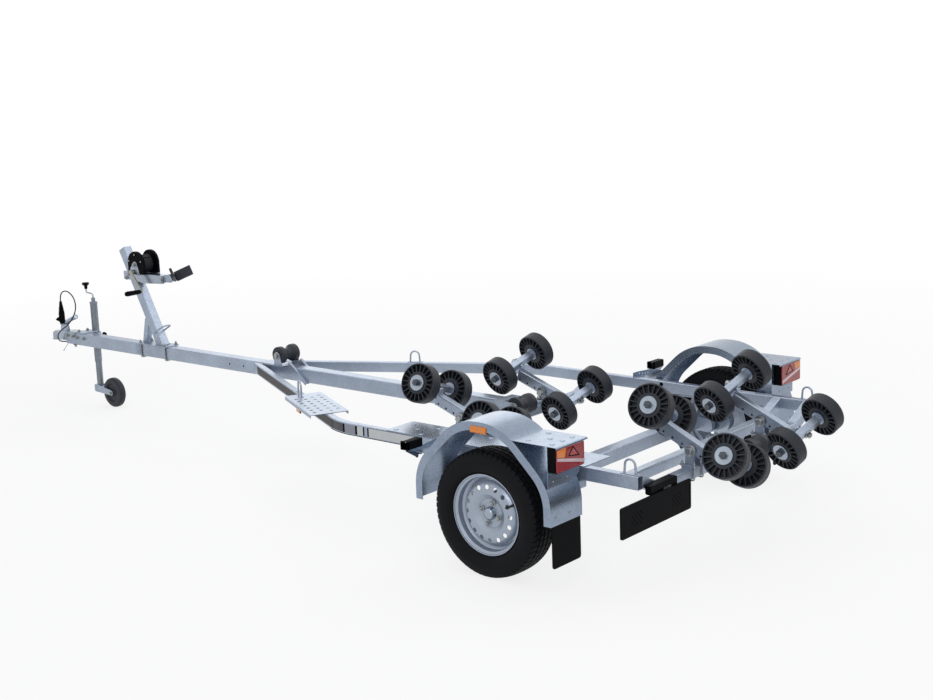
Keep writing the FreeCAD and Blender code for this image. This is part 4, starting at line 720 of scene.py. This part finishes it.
@dataclass
class Cradle:
    """One rocking arm: its pivot nuts, U-bolts, swivel nuts and four hull rollers."""

    place: str
    side: int
    beam_top: float = 430.0
    beam_deep: float = 50.0
    cheek_out: float = 26.5
    swivel_out: float = 21.0
    clamp_out: float = 36.5

    @property
    def tag(self) -> str:
        """The arm's place and side as the bodies are named."""
        return "%s_%s" % (self.place, SIDES[self.side])

    def build(self, joints: dict[str, dict[str, Any]]) -> None:
        """Makes the cradle's pieces.

        Args:
            joints: The record's joints by name, which give the pivots and axes.
        """
        pivot = self._spot(joints["arm_%s_rock" % self.tag])
        self._pivot(pivot)
        swivels = Form()
        for end in ("front", "rear"):
            tag = "%s_%s" % (self.tag, end)
            tilt = joints["cross_axle_%s_tilt" % tag]
            spot, along = self._spot(tilt), Vector(tilt["axis"])
            out = along if (spot - pivot).dot(along) > 0 else -along
            swivels.screw(spot + out * self.swivel_out, out, 24, 3, 10)
            spin = joints["rollers_%s_spin" % tag]
            HullRoller(tag, self._spot(spin), Vector(spin["axis"]).normalized()).build()
        swivels.piece("swivel_nuts_" + self.tag, NUT_ZINC, "arm_" + self.tag)

    @staticmethod
    def _spot(joint: dict[str, Any]) -> Vector:
        """A joint's place in millimetres from the axle."""
        return Vector(joint["pos_m"]) / MM + Vector((0, AXLE_BACK, 0))

    def _pivot(self, pivot: Vector) -> None:
        """Makes the pivot's nuts, and the two U-bolts that clamp the bracket to its cross-beam."""
        form = Form()
        for way in (-1, 1):
            form.screw((pivot.x + way * self.cheek_out, pivot.y, pivot.z), (way, 0, 0), 30, 0, 8)
        beam = BEAM_Y[self.place]
        plates = Form()
        for way in (-1, 1):
            x = pivot.x + way * self.clamp_out
            low = self.beam_top + 6
            plates.prism(panel(8.5, 41), 6, facing((x, beam, low), (0, 0, 1)), 0.8, 4)
            feet = (x, beam - 31, low + 6), (x, beam + 31, low + 6)
            form.u_bolt(feet, self.beam_deep + 18, 4, 13)
        form.piece("cradle_bolts_" + self.tag, NUT_ZINC)
        plates.piece("cradle_clamps_" + self.tag, GALVANISED)


@dataclass
class Lamps:
    """Tail lamps, front position lamps, side reflectors and the number plate's lamp."""

    middle_x: float = 950.0
    lens_back_y: float = -406.0
    lens_low: float = 541.0
    lens_high: float = 641.0
    half_wide: float = 96.0
    marker_x: tuple[float, float] = (945.0, 1050.0)
    marker_low: float = 516.0
    marker_y: float = 419.5
    guard_x: float = 1050.0
    reflector_high: float = 672.0

    def build(self) -> None:
        """Makes every lamp on both sides."""
        for side in SIDES:
            self._tail(side)
        self._markers()
        self._plate_lamp()

    def _tail(self, side: int) -> None:
        """Makes one tail lamp's lens: red, with an amber corner, a pale pink band of painted highlight across
        it and a red triangle.
        """
        name = SIDES[side]
        low, tall = self.lens_low, self.lens_high - self.lens_low
        wide = self.half_wide

        def face(proud: float) -> Matrix:
            turn = Matrix(((side, 0, 0), (0, 0, -1), (0, 1, 0))).to_4x4()
            return shift(side * self.middle_x, self.lens_back_y - proud, low) @ turn

        body = Form()
        body.prism(rectangle(-wide, 0, wide, tall), 6, face(0), 1.6, 8)
        lens = body.piece("tail_lens_" + name, RED_LENS)
        if side > 0:
            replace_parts(lens, "tail_lamp_lenses")
        edge, top = wide - 3, tall - 3
        for label, finish, proud, bend, outline in (
                ("tail_indicator_", AMBER_LENS, 5.5, 4, [(42, 58), (edge, 68), (edge, top), (30, top)]),
                # The pale pink band is a painted highlight across the red lens.
                ("tail_painted_highlight_band_", PINK_HIGHLIGHT_ACRYLIC, 5.5, 3,
                 [(-edge, 8), (-20, 26), (edge, 52), (edge, 65), (-20, 40), (-edge, 24)]),
                ("triangle_border_", PLASTIC, 5.5, 3, [(-64, 45), (20, 57), (-16, top)]),
                ("triangle_reflector_", RED_REFLEX, 6.0, 2, [(-50, 52), (9, 60), (-17, top - 9)])):
            form = Form()
            form.prism(outline, 1.0, face(proud), 0.4, bend)
            form.piece(label + name, finish)

    def _markers(self) -> None:
        """Makes the front position lamps and the amber side reflectors, in place of their solids."""
        shells, glass, amber, frames = Form(), Form(), Form(), Form()
        for side in SIDES:
            near, far = (side * x for x in self.marker_x)
            turn = Matrix(((1, 0, 0), (0, 0, 1), (0, -1, 0))).to_4x4()
            ahead = shift((near + far) / 2, self.marker_y, self.marker_low + 20) @ turn
            half = abs(far - near) / 2
            shells.prism(panel(half, 20), 38, ahead, 2.5, 6)
            shells.prism(rectangle(-half, -20, -half + 14, 20), 42, ahead, 1.5, 4)
            glass.prism(panel(half - 4, 17), 10.5, ahead @ shift(z=37.5), 2.5, 6)
            out = upright(side * self.guard_x, side, self.reflector_high)
            frames.prism(panel(44, 15), 3.0, out, 0.8, 3)
            amber.prism(panel(42.5, 13.5), 3.2, out @ shift(z=2.6), 1.2, 3)
            rail = facing((side * 498, 1713, 424), (side * 0.889, 0.457, 0))
            shells.prism(rectangle(-32, -17, 32, 40), 4, rail, 0.8, 3)
            amber.prism(panel(30, 15), 6, rail @ shift(z=3.6), 1.2, 3)
        lamp = shells.piece("marker_lamp_shells", PLASTIC)
        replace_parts(lamp, "marker_lamps")
        glass.piece("marker_lamp_glasses", WHITE_LENS)
        frames.piece("side_reflector_backs", AMBER_LENS)
        amber.piece("side_reflectors", AMBER_LENS)

    def _plate_lamp(self) -> None:
        """Makes the clear lens under the number plate's lamp."""
        form = Form()
        form.prism(panel(34, 11), 4, facing((-681, -644, 409.5), (0, 0, -1)), 1.2, 4)
        form.piece("plate_lamp_lens", WHITE_LENS)


@dataclass
class Coupling:
    """Screws of the ball coupling and the jack's clamp, the jack's knobs and the fork's nuts."""

    sleeve_x: float = 44.0
    bar_x: float = 40.0
    bar_low: float = 430.0
    lever_spot: tuple[float, float] = (4561.0, 560.0)
    jack: tuple[float, float] = (95.0, 4345.0)
    knob_low: float = 792.0
    knob_ahead: float = 72.0
    clamp_knob_x: float = 151.0
    bar_middle: float = 470.0
    fork_x: float = 30.5
    trail: float = 155.0
    wheel_high: float = 100.0

    def build(self) -> None:
        """Makes the coupling's and the jack's small pieces."""
        self._screws()
        self._knobs()
        self._fork_nuts()

    def _screws(self) -> None:
        """Makes the screws through the sleeve, the ears and the clamp."""
        form = Form()
        for side in SIDES:
            for y, z in ((4474, 488), (4412, 488)):
                form.screw((side * self.sleeve_x, y, z), (side, 0, 0), 19, 4, 17)
            form.screw((side * 18.4, *self.lever_spot), (side, 0, 0), 17, 4, 5)
            form.screw((side * 30, 4410, self.bar_low), (0, 0, -1), 17, 6)
        for y, z in ((4368, 482), (4296, 482)):
            form.screw((-self.bar_x, y, z), (-1, 0, 0), 17, 5, 20)
        for x in (-16, 52):
            form.screw((x, 4378, 518), (0, 0, 1), 15, 4, 10)
        form.piece("coupling_screws", NUT_ZINC)

    def _knobs(self) -> None:
        """Makes the jack's crank knob and the clamp's star knob."""
        form = Form()
        x, y = self.jack
        form.lobed([(-0.5, 9, 0), (0, 10, 0), (18, 11, 0), (23, 14, 1), (27, 21.4, 1.4), (31, 22.6, 2.0),
                    (39, 22.6, 2.0), (42.5, 21.0, 1.6), (43, 16, 0.6)],
                   shift(x, y + self.knob_ahead, self.knob_low), 3)
        form.lobed([(0, 12, 0), (1, 16.4, 1.0), (5, 18.4, 1.8), (15, 18.4, 1.8), (19, 16.6, 1.2),
                    (20.5, 9, 0)],
                   facing((self.clamp_knob_x, y, self.bar_middle), (1, 0, 0)), 5)
        form.piece("jack_knobs", PLASTIC)

    def _fork_nuts(self) -> None:
        """Makes the nuts on the jack wheel's axle."""
        form = Form()
        x, y = self.jack
        for side in SIDES:
            form.screw((x + side * self.fork_x, y - self.trail, self.wheel_high), (side, 0, 0), 19, 2, 10)
        form.piece("fork_nuts", NUT_ZINC, "jack_caster")


@dataclass
class Lead:
    """The trailer's lead and its parked plug, and the safety wire, as free cords."""

    lead_radius: float = 4.0
    wire_radius: float = 2.0
    plug_spot: tuple[float, float, float] = (-62.0, 4494.0, 573.0)

    def build(self) -> None:
        """Makes both cords and the rings and lid of the plug."""
        route = ((-20, 4470, 438.4), (-26, 4526, 438.4), (-56, 4560, 441), (-70, 4556, 488), (-74, 4492, 530),
                 (-74, 4412, 570), (-71, 4344, 630), (-68, 4308, 704), (-65, 4338, 772), (-63, 4418, 806),
                 (-62, 4494, 776), (-62, 4494, 723))
        lead = self._cord("trailer_lead", route, self.lead_radius, LEAD)
        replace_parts(lead, "plug_cable")
        self._plug()
        wire_route = ((30, 4460, 436.4), (30, 4540, 436.4), (24, 4590, 404), (18, 4630, 356))
        wire = self._cord("breakaway_wire", wire_route, self.wire_radius, WIRE)
        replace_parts(wire, "safety_wire")
        self._ferrule(wire_route)

    @staticmethod
    def _metres(spot: Place) -> Vector:
        """A place in metres in the trailer's frame."""
        return (Vector(spot) - Vector((0, AXLE_BACK, 0))) * MM

    def _cord(self, name: str, route: Sequence[Place], radius: float, finish: Finish) -> bpy.types.Object:
        """Makes a round cord along the smooth line of a route's points."""
        curve = bpy.data.curves.new(name, "CURVE")
        curve.dimensions = "3D"
        curve.bevel_depth = radius * MM
        curve.bevel_resolution = 4
        curve.use_fill_caps = True
        line = curve.splines.new("NURBS")
        line.points.add(len(route) - 1)
        for point, spot in zip(line.points, route):
            point.co = (*self._metres(spot), 1.0)
        line.order_u = 3
        line.use_endpoint_u = True
        line.resolution_u = 12
        made = add_object(name, curve)
        settle(made, finish, CHASSIS)
        return made

    def _plug(self) -> bpy.types.Object:
        """Makes the plug's grip rings, its collar and the tapered relief at its top."""
        form = Form()
        place = Matrix.Translation(self.plug_spot)
        form.turned([(10, 17.2), (11, 20.8), (16, 21.2), (21, 20.8), (22, 19.4)], place, 40)
        for k in range(5):
            low = 66 + 11 * k
            size = 20 - 12 * (low - 62) / 88
            form.turned([(low + x, size + r) for x, r in ((0, -1), (1, 1.1), (5, 0.6), (6, -1.6))], place, 36)
        form.turned([(122, 11.0), (126, 10.6), (148, 7.6), (151, 5.6), (151, 4.2)], place, 28)
        form.screw(Vector(self.plug_spot) + Vector((-40, 0, 32)), (-1, 0, 0), 9, washer=False)
        return form.piece("plug_grip", PLASTIC)

    def _ferrule(self, route: Sequence[Place]) -> bpy.types.Object:
        """Makes the crimped sleeve on the wire's end."""
        form = Form()
        last, before = Vector(route[-1]), Vector(route[-2])
        along = (last - before).normalized()
        form.turned([(-16, 2.4), (-15, 3.4), (-2, 3.4), (0, 2.8)], facing(last, along), 20)
        return form.piece("wire_ferrule", ZINC)


@dataclass
class Winch:
    """The wound strap, the winch's screws and grip, and the bow stop."""

    middle_y: float = 3725.1
    level: float = 945.0
    drum: tuple[float, float] = (3630.1, 1026.0)
    pinion: tuple[float, float] = (3655.1, 978.0)
    strap_radius: float = 52.0
    cheek_x: float = 64.0
    crank_x: float = -90.0
    crank_long: float = 147.0
    crank_lean_deg: float = 38.0
    arm_x: float = 35.0
    valley: tuple[float, float, float] = (0.0, 3338.1, 989.0)
    pad: tuple[float, float, float] = (110.0, 16.0, 62.0)
    pad_turn_deg: float = 50.0
    pad_lean_deg: float = 30.0

    def build(self) -> None:
        """Makes the winch's and the bow stop's pieces."""
        self._strap()
        self._screws()
        self._grip()
        self._bow_stop()

    def _strap(self) -> None:
        """Makes the webbing wound on the drum, layer on layer, with its last turn's sewn end."""
        form = Form()
        place = facing((0, *self.drum), (1, 0, 0))
        profile = [(-34 - 1.2 * (k % 3), 40 + 1.4 * k) for k in range(9)] + [(-33, self.strap_radius + 0.5)]
        profile += [(-x, radius) for x, radius in reversed(profile)]
        form.turned(profile, place, 72)
        end = facing((0, self.drum[0] - 24, self.drum[1] + 47.2), (0, -0.46, 0.89))
        form.prism(rectangle(-33, -14, 33, 20), 3.2, end, 0.8, 2)
        form.piece("winch_strap", WEBBING, "winch_drum", angle_deg=30)

    def _screws(self) -> None:
        """Makes the screws of the cheeks, the gear plate and the arms."""
        form = Form()
        y, z = self.drum
        for side in SIDES:
            for turn in (20, 90, 160):
                a = math.radians(turn)
                spot = (side * self.cheek_x, y + 63 * math.cos(a), z + 63 * math.sin(a))
                form.screw(spot, (side, 0, 0), 10, 0, turn, washer=False)
            for x, dy, dz, sizes in ((0, 17, 12, (17, 4, 9)), (0, 46, -14, (17, 4, 9)),
                                     (3, -318, -14, (13, 3, 12)), (3, -318, 4, (13, 3, 12))):
                spot = (side * (self.arm_x + x), self.middle_y + dy, self.level + dz)
                form.screw(spot, (side, 0, 0), *sizes)
        form.screw((-self.cheek_x - 4, y, z), (-1, 0, 0), 22, 4, 14)
        form.screw((-self.cheek_x - 4, y - 30, self.level + 27), (-1, 0, 0), 10, 0, 4)
        form.piece("winch_screws", NUT_ZINC)

    def _grip(self) -> None:
        """Makes the black grip over the crank's handle."""
        lean = math.radians(self.crank_lean_deg)
        y = self.pinion[0] - self.crank_long * math.sin(lean)
        z = self.pinion[1] - self.crank_long * math.cos(lean)
        form = Form()
        form.turned([(3, 9.5), (3.6, 11.5), (6, 12.6), (20, 14.2), (60, 15.0), (98, 16.0), (108, 14.6),
                     (114, 12.2), (116.4, 8), (116.8, 3)], facing((self.crank_x, y, z), (-1, 0, 0)), 40)
        form.piece("crank_grip", PLASTIC, "winch_crank", angle_deg=50)

    def _bow_stop(self) -> None:
        """Makes the two ribbed rubber pads in their V, and the zinc bracket that holds them."""
        lean_rad, turn_rad = math.radians(self.pad_lean_deg), math.radians(self.pad_turn_deg)
        lean = Matrix.Rotation(lean_rad, 4, (-1, 0, 0))
        long, thick, high = self.pad
        pads = Form()
        for side in SIDES:
            turn = Matrix.Scale(side, 4, (1, 0, 0)) @ Matrix.Rotation(-turn_rad, 4, "Z")
            place = Matrix.Translation(self.valley) @ lean @ turn @ shift(z=-high)
            pads.prism(rectangle(1, 0.6, long, thick), high, place, 1.8, 4)
            for along in range(14, 99, 21):
                rib = rectangle(along, -0.4, along + 13, 2)
                pads.prism(rib, high - 14, place @ shift(z=7), 0.5)
        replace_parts(pads.piece("bow_pads", RUBBER), "bow_stop")
        bracket = Form()
        tail = self.middle_y - 308
        y, z = self.valley[1:]
        low_y, low_z = y - math.sin(lean_rad) * high, z - math.cos(lean_rad) * high
        outline = [(tail, self.level - 28), (tail, self.level + 12), (y + 4, z - 8), (low_y + 4, low_z + 4)]
        for x in (-29.6, 29.6 - SHEET_MM):
            bracket.prism(outline, SHEET_MM, upright(x), 0.8, 6)
        web = [(y + 6, z - 10), (y + 12, z - 13), (low_y + 16, low_z + 2), (low_y + 10, low_z + 5)]
        bracket.prism(web, 54, upright(-27), 0.8)
        bracket.piece("bow_stop_bracket", GALVANISED)


@dataclass
class Frame:
    """Screws, U-bolts, rivets, welds, plugs, lashing hoops and the front keel roller's stay."""

    bar_x: float = 40.0
    bar_top: float = 510.0
    bar_low: float = 430.0
    foot_top: float = 516.0
    post_y: float = 3497.0
    post_half: float = 30.0
    post_lean_deg: float = 28.0
    rail_x: float = 780.0
    rail_half: float = 20.0
    rail_top: float = 505.0
    rail_low: float = 445.0
    guard_back_y: float = -376.0
    lamp_plate_y: float = -366.0
    keel_nut_x: float = 71.5
    keels: tuple[tuple[float, float], ...] = ((2343.0, 574.0), (593.0, 489.0), (-732.0, 461.0))

    def build(self) -> None:
        """Makes the frame's small pieces."""
        self._fasteners()
        self._welds()
        self._plates()
        self._plugs()
        self._hoops()
        self._keel_stay()

    def _fasteners(self) -> None:
        """Makes the U-bolts of the post's foot, the rivets and the keel rollers' nuts."""
        form = Form()
        for y in (3425, 3668):
            feet = (-46, y, self.foot_top), (46, y, self.foot_top)
            form.u_bolt(feet, self.foot_top - self.bar_low + 6, 5, 16, 9)
        for y, z in self.keels:
            for side in SIDES:
                form.screw((side * self.keel_nut_x, y, z), (side, 0, 0), 24, 0, 12)
        for side in SIDES:
            for x in (918, 1014):
                form.rivet((side * x, self.guard_back_y, 338), (0, -1, 0), 6)
                form.rivet((side * x, self.lamp_plate_y, 494), (0, -1, 0), 5)
            for x in (812, 866, 948):
                form.screw((side * x, 430, 505 if x < 900 else 488), (0, 1, 0), 13, 3, 8)
        form.piece("frame_fasteners", NUT_ZINC)

    def _welds(self) -> None:
        """Makes the weld beads of the post's foot, the rails' front ends and the cross-beams."""
        form = Form()
        long = self.post_half / math.cos(math.radians(self.post_lean_deg))
        h, back, ahead, z = self.post_half, self.post_y - long, self.post_y + long, self.foot_top + 1
        form.weld([(-h, back, z), (h, back, z), (h, ahead, z), (-h, ahead, z), (-h, back, z)], 3)
        for side in SIDES:
            x = side * (self.bar_x + 1)
            form.weld([(x, 2500, self.rail_top), (x, 2578, self.rail_top)])
            form.weld([(x, 2579, self.rail_top), (x, 2579, self.rail_low)])
            x = side * (self.rail_x - self.rail_half - 1)
            for y in (690, -430, -600):
                for edge in (y + 26, y - 26):
                    form.weld([(x, edge, 502), (x, edge, 452)])
        form.piece("weld_beads", GALVANISED, angle_deg=60)

    def _plates(self) -> None:
        """Makes the folded cheeks at the brace's foot."""
        form = Form()
        for side in SIDES:
            cheek = rectangle(3684, self.bar_low + 12, 3722, self.bar_top)
            form.prism(cheek, SHEET_MM, upright(side * self.bar_x, side), 0.8, 4)
        form.piece("brace_foot_cheeks", ZINC_SHEET)

    def _plugs(self) -> None:
        """Makes the black plugs in the rails' sides."""
        form = Form()
        for side in SIDES:
            for y in (624, 250):
                form.turned([(0, 11), (1.6, 11), (3, 9), (3.4, 5)],
                            facing((side * (self.rail_x - self.rail_half), y, 488), (-side, 0, 0)), 28)
        form.piece("rail_plugs", PLASTIC)

    def _hoops(self) -> None:
        """Makes the four round-topped lashing hoops, in place of their solids."""
        form = Form()
        for side in SIDES:
            for x, y, turn_deg in ((458.8, 1745.0, 27.2), (self.rail_x, -590.0, 0.0)):
                place = shift(side * x, y, self.rail_top) @ Matrix.Rotation(
                    math.radians(side * turn_deg), 4, "Z")
                form.prism(panel(12, 45), 3, place, 0.8, 6)
                bow = [Vector((0, -26 * math.cos(a), 38 + 26 * math.sin(a)))
                       for a in (math.pi * k / 14 for k in range(15))]
                line = [Vector((0, -29, 1)), *bow, Vector((0, 29, 1))]
                form.bar([place @ spot for spot in line], 5, 14)
        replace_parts(form.piece("lashing_hoops", GALVANISED), "lashing_eyes")

    def _keel_stay(self) -> None:
        """Makes the slanted strut behind the front keel roller, and its strap under the drawbar."""
        form = Form()
        for side in SIDES:
            place = upright(side * (self.bar_x + 0.5), side)
            form.prism([(2272, 542), (2290, 518), (2149, 413), (2131, 437)], 3, place, 0.8, 4)
            form.prism([(2272, 542), (2131, 437), (2129.2, 439.4), (2270.2, 544.4)], 15, place, 0.6)
        for low, high, z in ((2131, 2155, 425.5), (2272, 2312, 510.5)):
            form.prism(rectangle(-43.5, low, 43.5, high), 3.5, shift(z=z), 0.8, 3)
        form.piece("keel_roller_stay", GALVANISED)


@dataclass
class RailFilms:
    """Plain coloured films along the outer faces of both rails, without any lettering."""

    straight_x: float = 780.0
    bend_y: float = 1120.0
    join: tuple[float, float] = (40.0, 2560.0)
    bend_radius: float = 400.0
    face_out: float = 20.0
    film: float = 0.35
    low: float = 455.0
    high: float = 499.0

    def build(self) -> None:
        """Makes the films in four tints, the black bars between them, and a black line of painted shade below
        them.
        """
        low, high = self.low, self.high
        self._films("rail_dark_films", DARK_FILM, [(150, 1640, low, high)])
        self._films("rail_grey_films", SLATE_FILM, [(61, 150, low, high)])
        self._films("rail_mid_films", GREY_FILM, [(-28, 46, low, high)])
        self._films("rail_pale_films", PALE_FILM, [(-81, -42, low, high), (-440, -120, low, high)])
        # The last strip, below the films, is a black line of painted shade at the rail's rounded lower
        # corner.
        self._films("rail_black_bars_and_painted_shade_line", PLASTIC, [
            (46, 61, low, high), (-42, -28, low, high), (-90, -81, low, high), (-120, -110, low, high),
            (-440, -120, high, high + 2), (-440, 190, low - 8, low - 4.5)])

    def _at(self, along: float, out: float) -> tuple[float, float]:
        """A place on a line outside the right rail's middle, measured from the start of its bend."""
        lean = math.atan((self.straight_x - self.join[0]) / (self.join[1] - self.bend_y))
        reach = self.bend_radius * math.tan(lean / 2)
        arc = lean * (self.bend_radius + self.face_out)
        start = self.bend_y - reach
        if along < 0:
            return self.straight_x + out, start + along
        angle = min(along / (self.bend_radius + self.face_out), lean)
        size = self.bend_radius + out
        x = self.straight_x - self.bend_radius + size * math.cos(angle)
        y = start + size * math.sin(angle)
        past = max(along - arc, 0.0)
        return x - past * math.sin(lean), y + past * math.cos(lean)

    def _films(self, name: str, finish: Finish, spans: Sequence[tuple[float, float, float, float]]) -> None:
        """Makes films of one shade from their (start, end, low, high) along the rail."""
        form = Form()
        for side in SIDES:
            for start, end, low, high in spans:
                steps = max(1, math.ceil((end - start) / 18))
                rings = []
                for k in range(steps + 1):
                    along = start + (end - start) * k / steps
                    near, far = (self._at(along, self.face_out + out) for out in (-0.3, self.film))
                    rings.append([Vector((side * x, y, z)) for (x, y), z in (
                        (near, low), (far, low), (far, high), (near, high))])
                form.skin(rings)
        form.piece(name, finish, angle_deg=50)


@dataclass
class Studio:
    """The camera at the photograph's angle, the floor and the soft light."""

    eye: tuple[float, float, float] = (-5.591, -5.730, 2.210)
    heading_deg: float = -49.27
    dip_deg: float = 11.29
    roll_deg: float = -2.12
    lens_mm: float = 55.77
    floor_reach: float = 60.0
    fade_near: float = 3.2
    fade_far: float = 8.0
    floor_glow: float = 0.80
    sky_light: float = 0.5

    def build(self) -> None:
        """Sets up the whole studio."""
        self._camera()
        self._floor()
        self._world()
        self._lamps()

    def _camera(self) -> None:
        """Places the camera."""
        data = bpy.data.cameras.new("camera")
        data.lens, data.sensor_width, data.sensor_fit = self.lens_mm, 36.0, "HORIZONTAL"
        camera = add_object("camera", data)
        heading, dip = math.radians(self.heading_deg), math.radians(self.dip_deg)
        level = math.cos(dip)
        ahead = Vector((-math.sin(heading) * level, math.cos(heading) * level, -math.sin(dip)))
        turn = ahead.to_track_quat("-Z", "Y") @ Quaternion((0, 0, 1), math.radians(self.roll_deg))
        camera.matrix_world = Matrix.Translation(self.eye) @ turn.to_matrix().to_4x4()
        bpy.context.scene.camera = camera

    def _floor(self) -> None:
        """Lays a pale floor that fades to white away from the trailer."""
        mesh = bpy.data.meshes.new("studio_floor")
        form = bmesh.new()
        bmesh.ops.create_circle(form, cap_ends=True, segments=96, radius=self.floor_reach)
        form.to_mesh(mesh)
        form.free()
        floor = add_object("studio_floor", mesh)
        made, tree, shader = add_material("studio_floor")
        shader.inputs["Base Color"].default_value = linear("F4F5F6")
        shader.inputs["Roughness"].default_value = 0.9
        glow = add_node(tree, "ShaderNodeEmission", {"Color": (1, 1, 1, 1), "Strength": 1.0})
        place = add_node(tree, "ShaderNodeTexCoord").outputs["Object"]
        far = add_node(tree, "ShaderNodeVectorMath", {0: place}, operation="LENGTH")
        fade = add_node(tree, "ShaderNodeMapRange", {
            "Value": far.outputs["Value"], "From Min": self.fade_near, "From Max": self.fade_far,
            "To Min": self.floor_glow})
        share = add_node(tree, "ShaderNodeMath", {0: fade.outputs["Result"], 1: self._seen(tree)},
                         operation="MULTIPLY")
        mix = add_node(tree, "ShaderNodeMixShader", {"Fac": share.outputs[0]})
        tree.links.new(shader.outputs[0], mix.inputs[1])
        tree.links.new(glow.outputs[0], mix.inputs[2])
        tree.links.new(mix.outputs[0], tree.nodes["Material Output"].inputs["Surface"])
        mesh.materials.append(made)

    @staticmethod
    def _seen(tree: Tree) -> Socket:
        """1 for rays that the eye, gloss or glass sees the background by, otherwise 0."""
        path = add_node(tree, "ShaderNodeLightPath")
        seen = path.outputs["Is Camera Ray"]
        for kind in ("Is Glossy Ray", "Is Transmission Ray"):
            seen = add_node(tree, "ShaderNodeMath", {0: seen, 1: path.outputs[kind]},
                            operation="MAXIMUM").outputs[0]
        return seen

    def _world(self) -> None:
        """White to the eye, softer as light."""
        world = bpy.data.worlds.new("studio")
        bpy.context.scene.world = world
        world.use_nodes = True
        tree = world.node_tree
        back = tree.nodes["Background"]
        back.inputs["Color"].default_value = (1, 1, 1, 1)
        strength = add_node(tree, "ShaderNodeMapRange", {
            "Value": self._seen(tree), "To Min": self.sky_light, "To Max": 1.0})
        tree.links.new(strength.outputs["Result"], back.inputs["Strength"])

    def _lamps(self) -> None:
        """Large soft boxes above, and to the left and rear of the trailer."""
        for name, spot, aim, size, power in (
            ("overhead_softbox", (0.0, 0.0, 6.0), (0.0, 0.0, 0.0), 7.0, 110.0),
            ("far_softbox", (6.4, 5.5, 3.7), (0.0, 0.0, 0.4), 6.6, 80.0),
            ("right_rear_softbox", (6.0, -4.5, 5.8), (0.0, 0.5, 0.4), 4.0, 80.0),
            ("near_softbox", (-6.0, -5.0, 4.5), (0.0, -1.0, 0.4), 3.0, 85.0),
        ):
            data = bpy.data.lights.new(name, "AREA")
            data.shape, data.size, data.energy = "DISK", size, power
            lamp = add_object(name, data)
            turn = (Vector(aim) - Vector(spot)).to_track_quat("-Z", "Y")
            lamp.visible_camera = False
            lamp.matrix_world = Matrix.Translation(spot) @ turn.to_matrix().to_4x4()


def dress_nodes() -> None:
    """Gives every solid its own finish, or that of its material slot."""
    for part in frame["record"]["subparts"]:
        dress(NODES[part["node"]], NODE_FINISH.get(part["node"], SLOT_FINISH[part["material_slot"]]))
        LOG.info("%s is %s", part["node"], part["material_slot"])


def main() -> None:
    """Builds the studio and the cords, then the trailer's other pieces."""
    logging.basicConfig(level=logging.INFO, format="%(message)s")
    bpy.context.scene.view_settings.view_transform = "Standard"
    Studio().build()
    Lead().build()
    dress_nodes()
    joints = {joint["name"]: joint for joint in frame["record"]["behaviour"]["joints"]}
    for side in SIDES:
        RoadWheel(side).build()
        for place in ("front", "rear"):
            Cradle(place, side).build(joints)
    Coupling().build()
    Winch().build()
    Frame().build()
    Lamps().build()
    RailFilms().build()


if __name__ == "__main__":
    main()
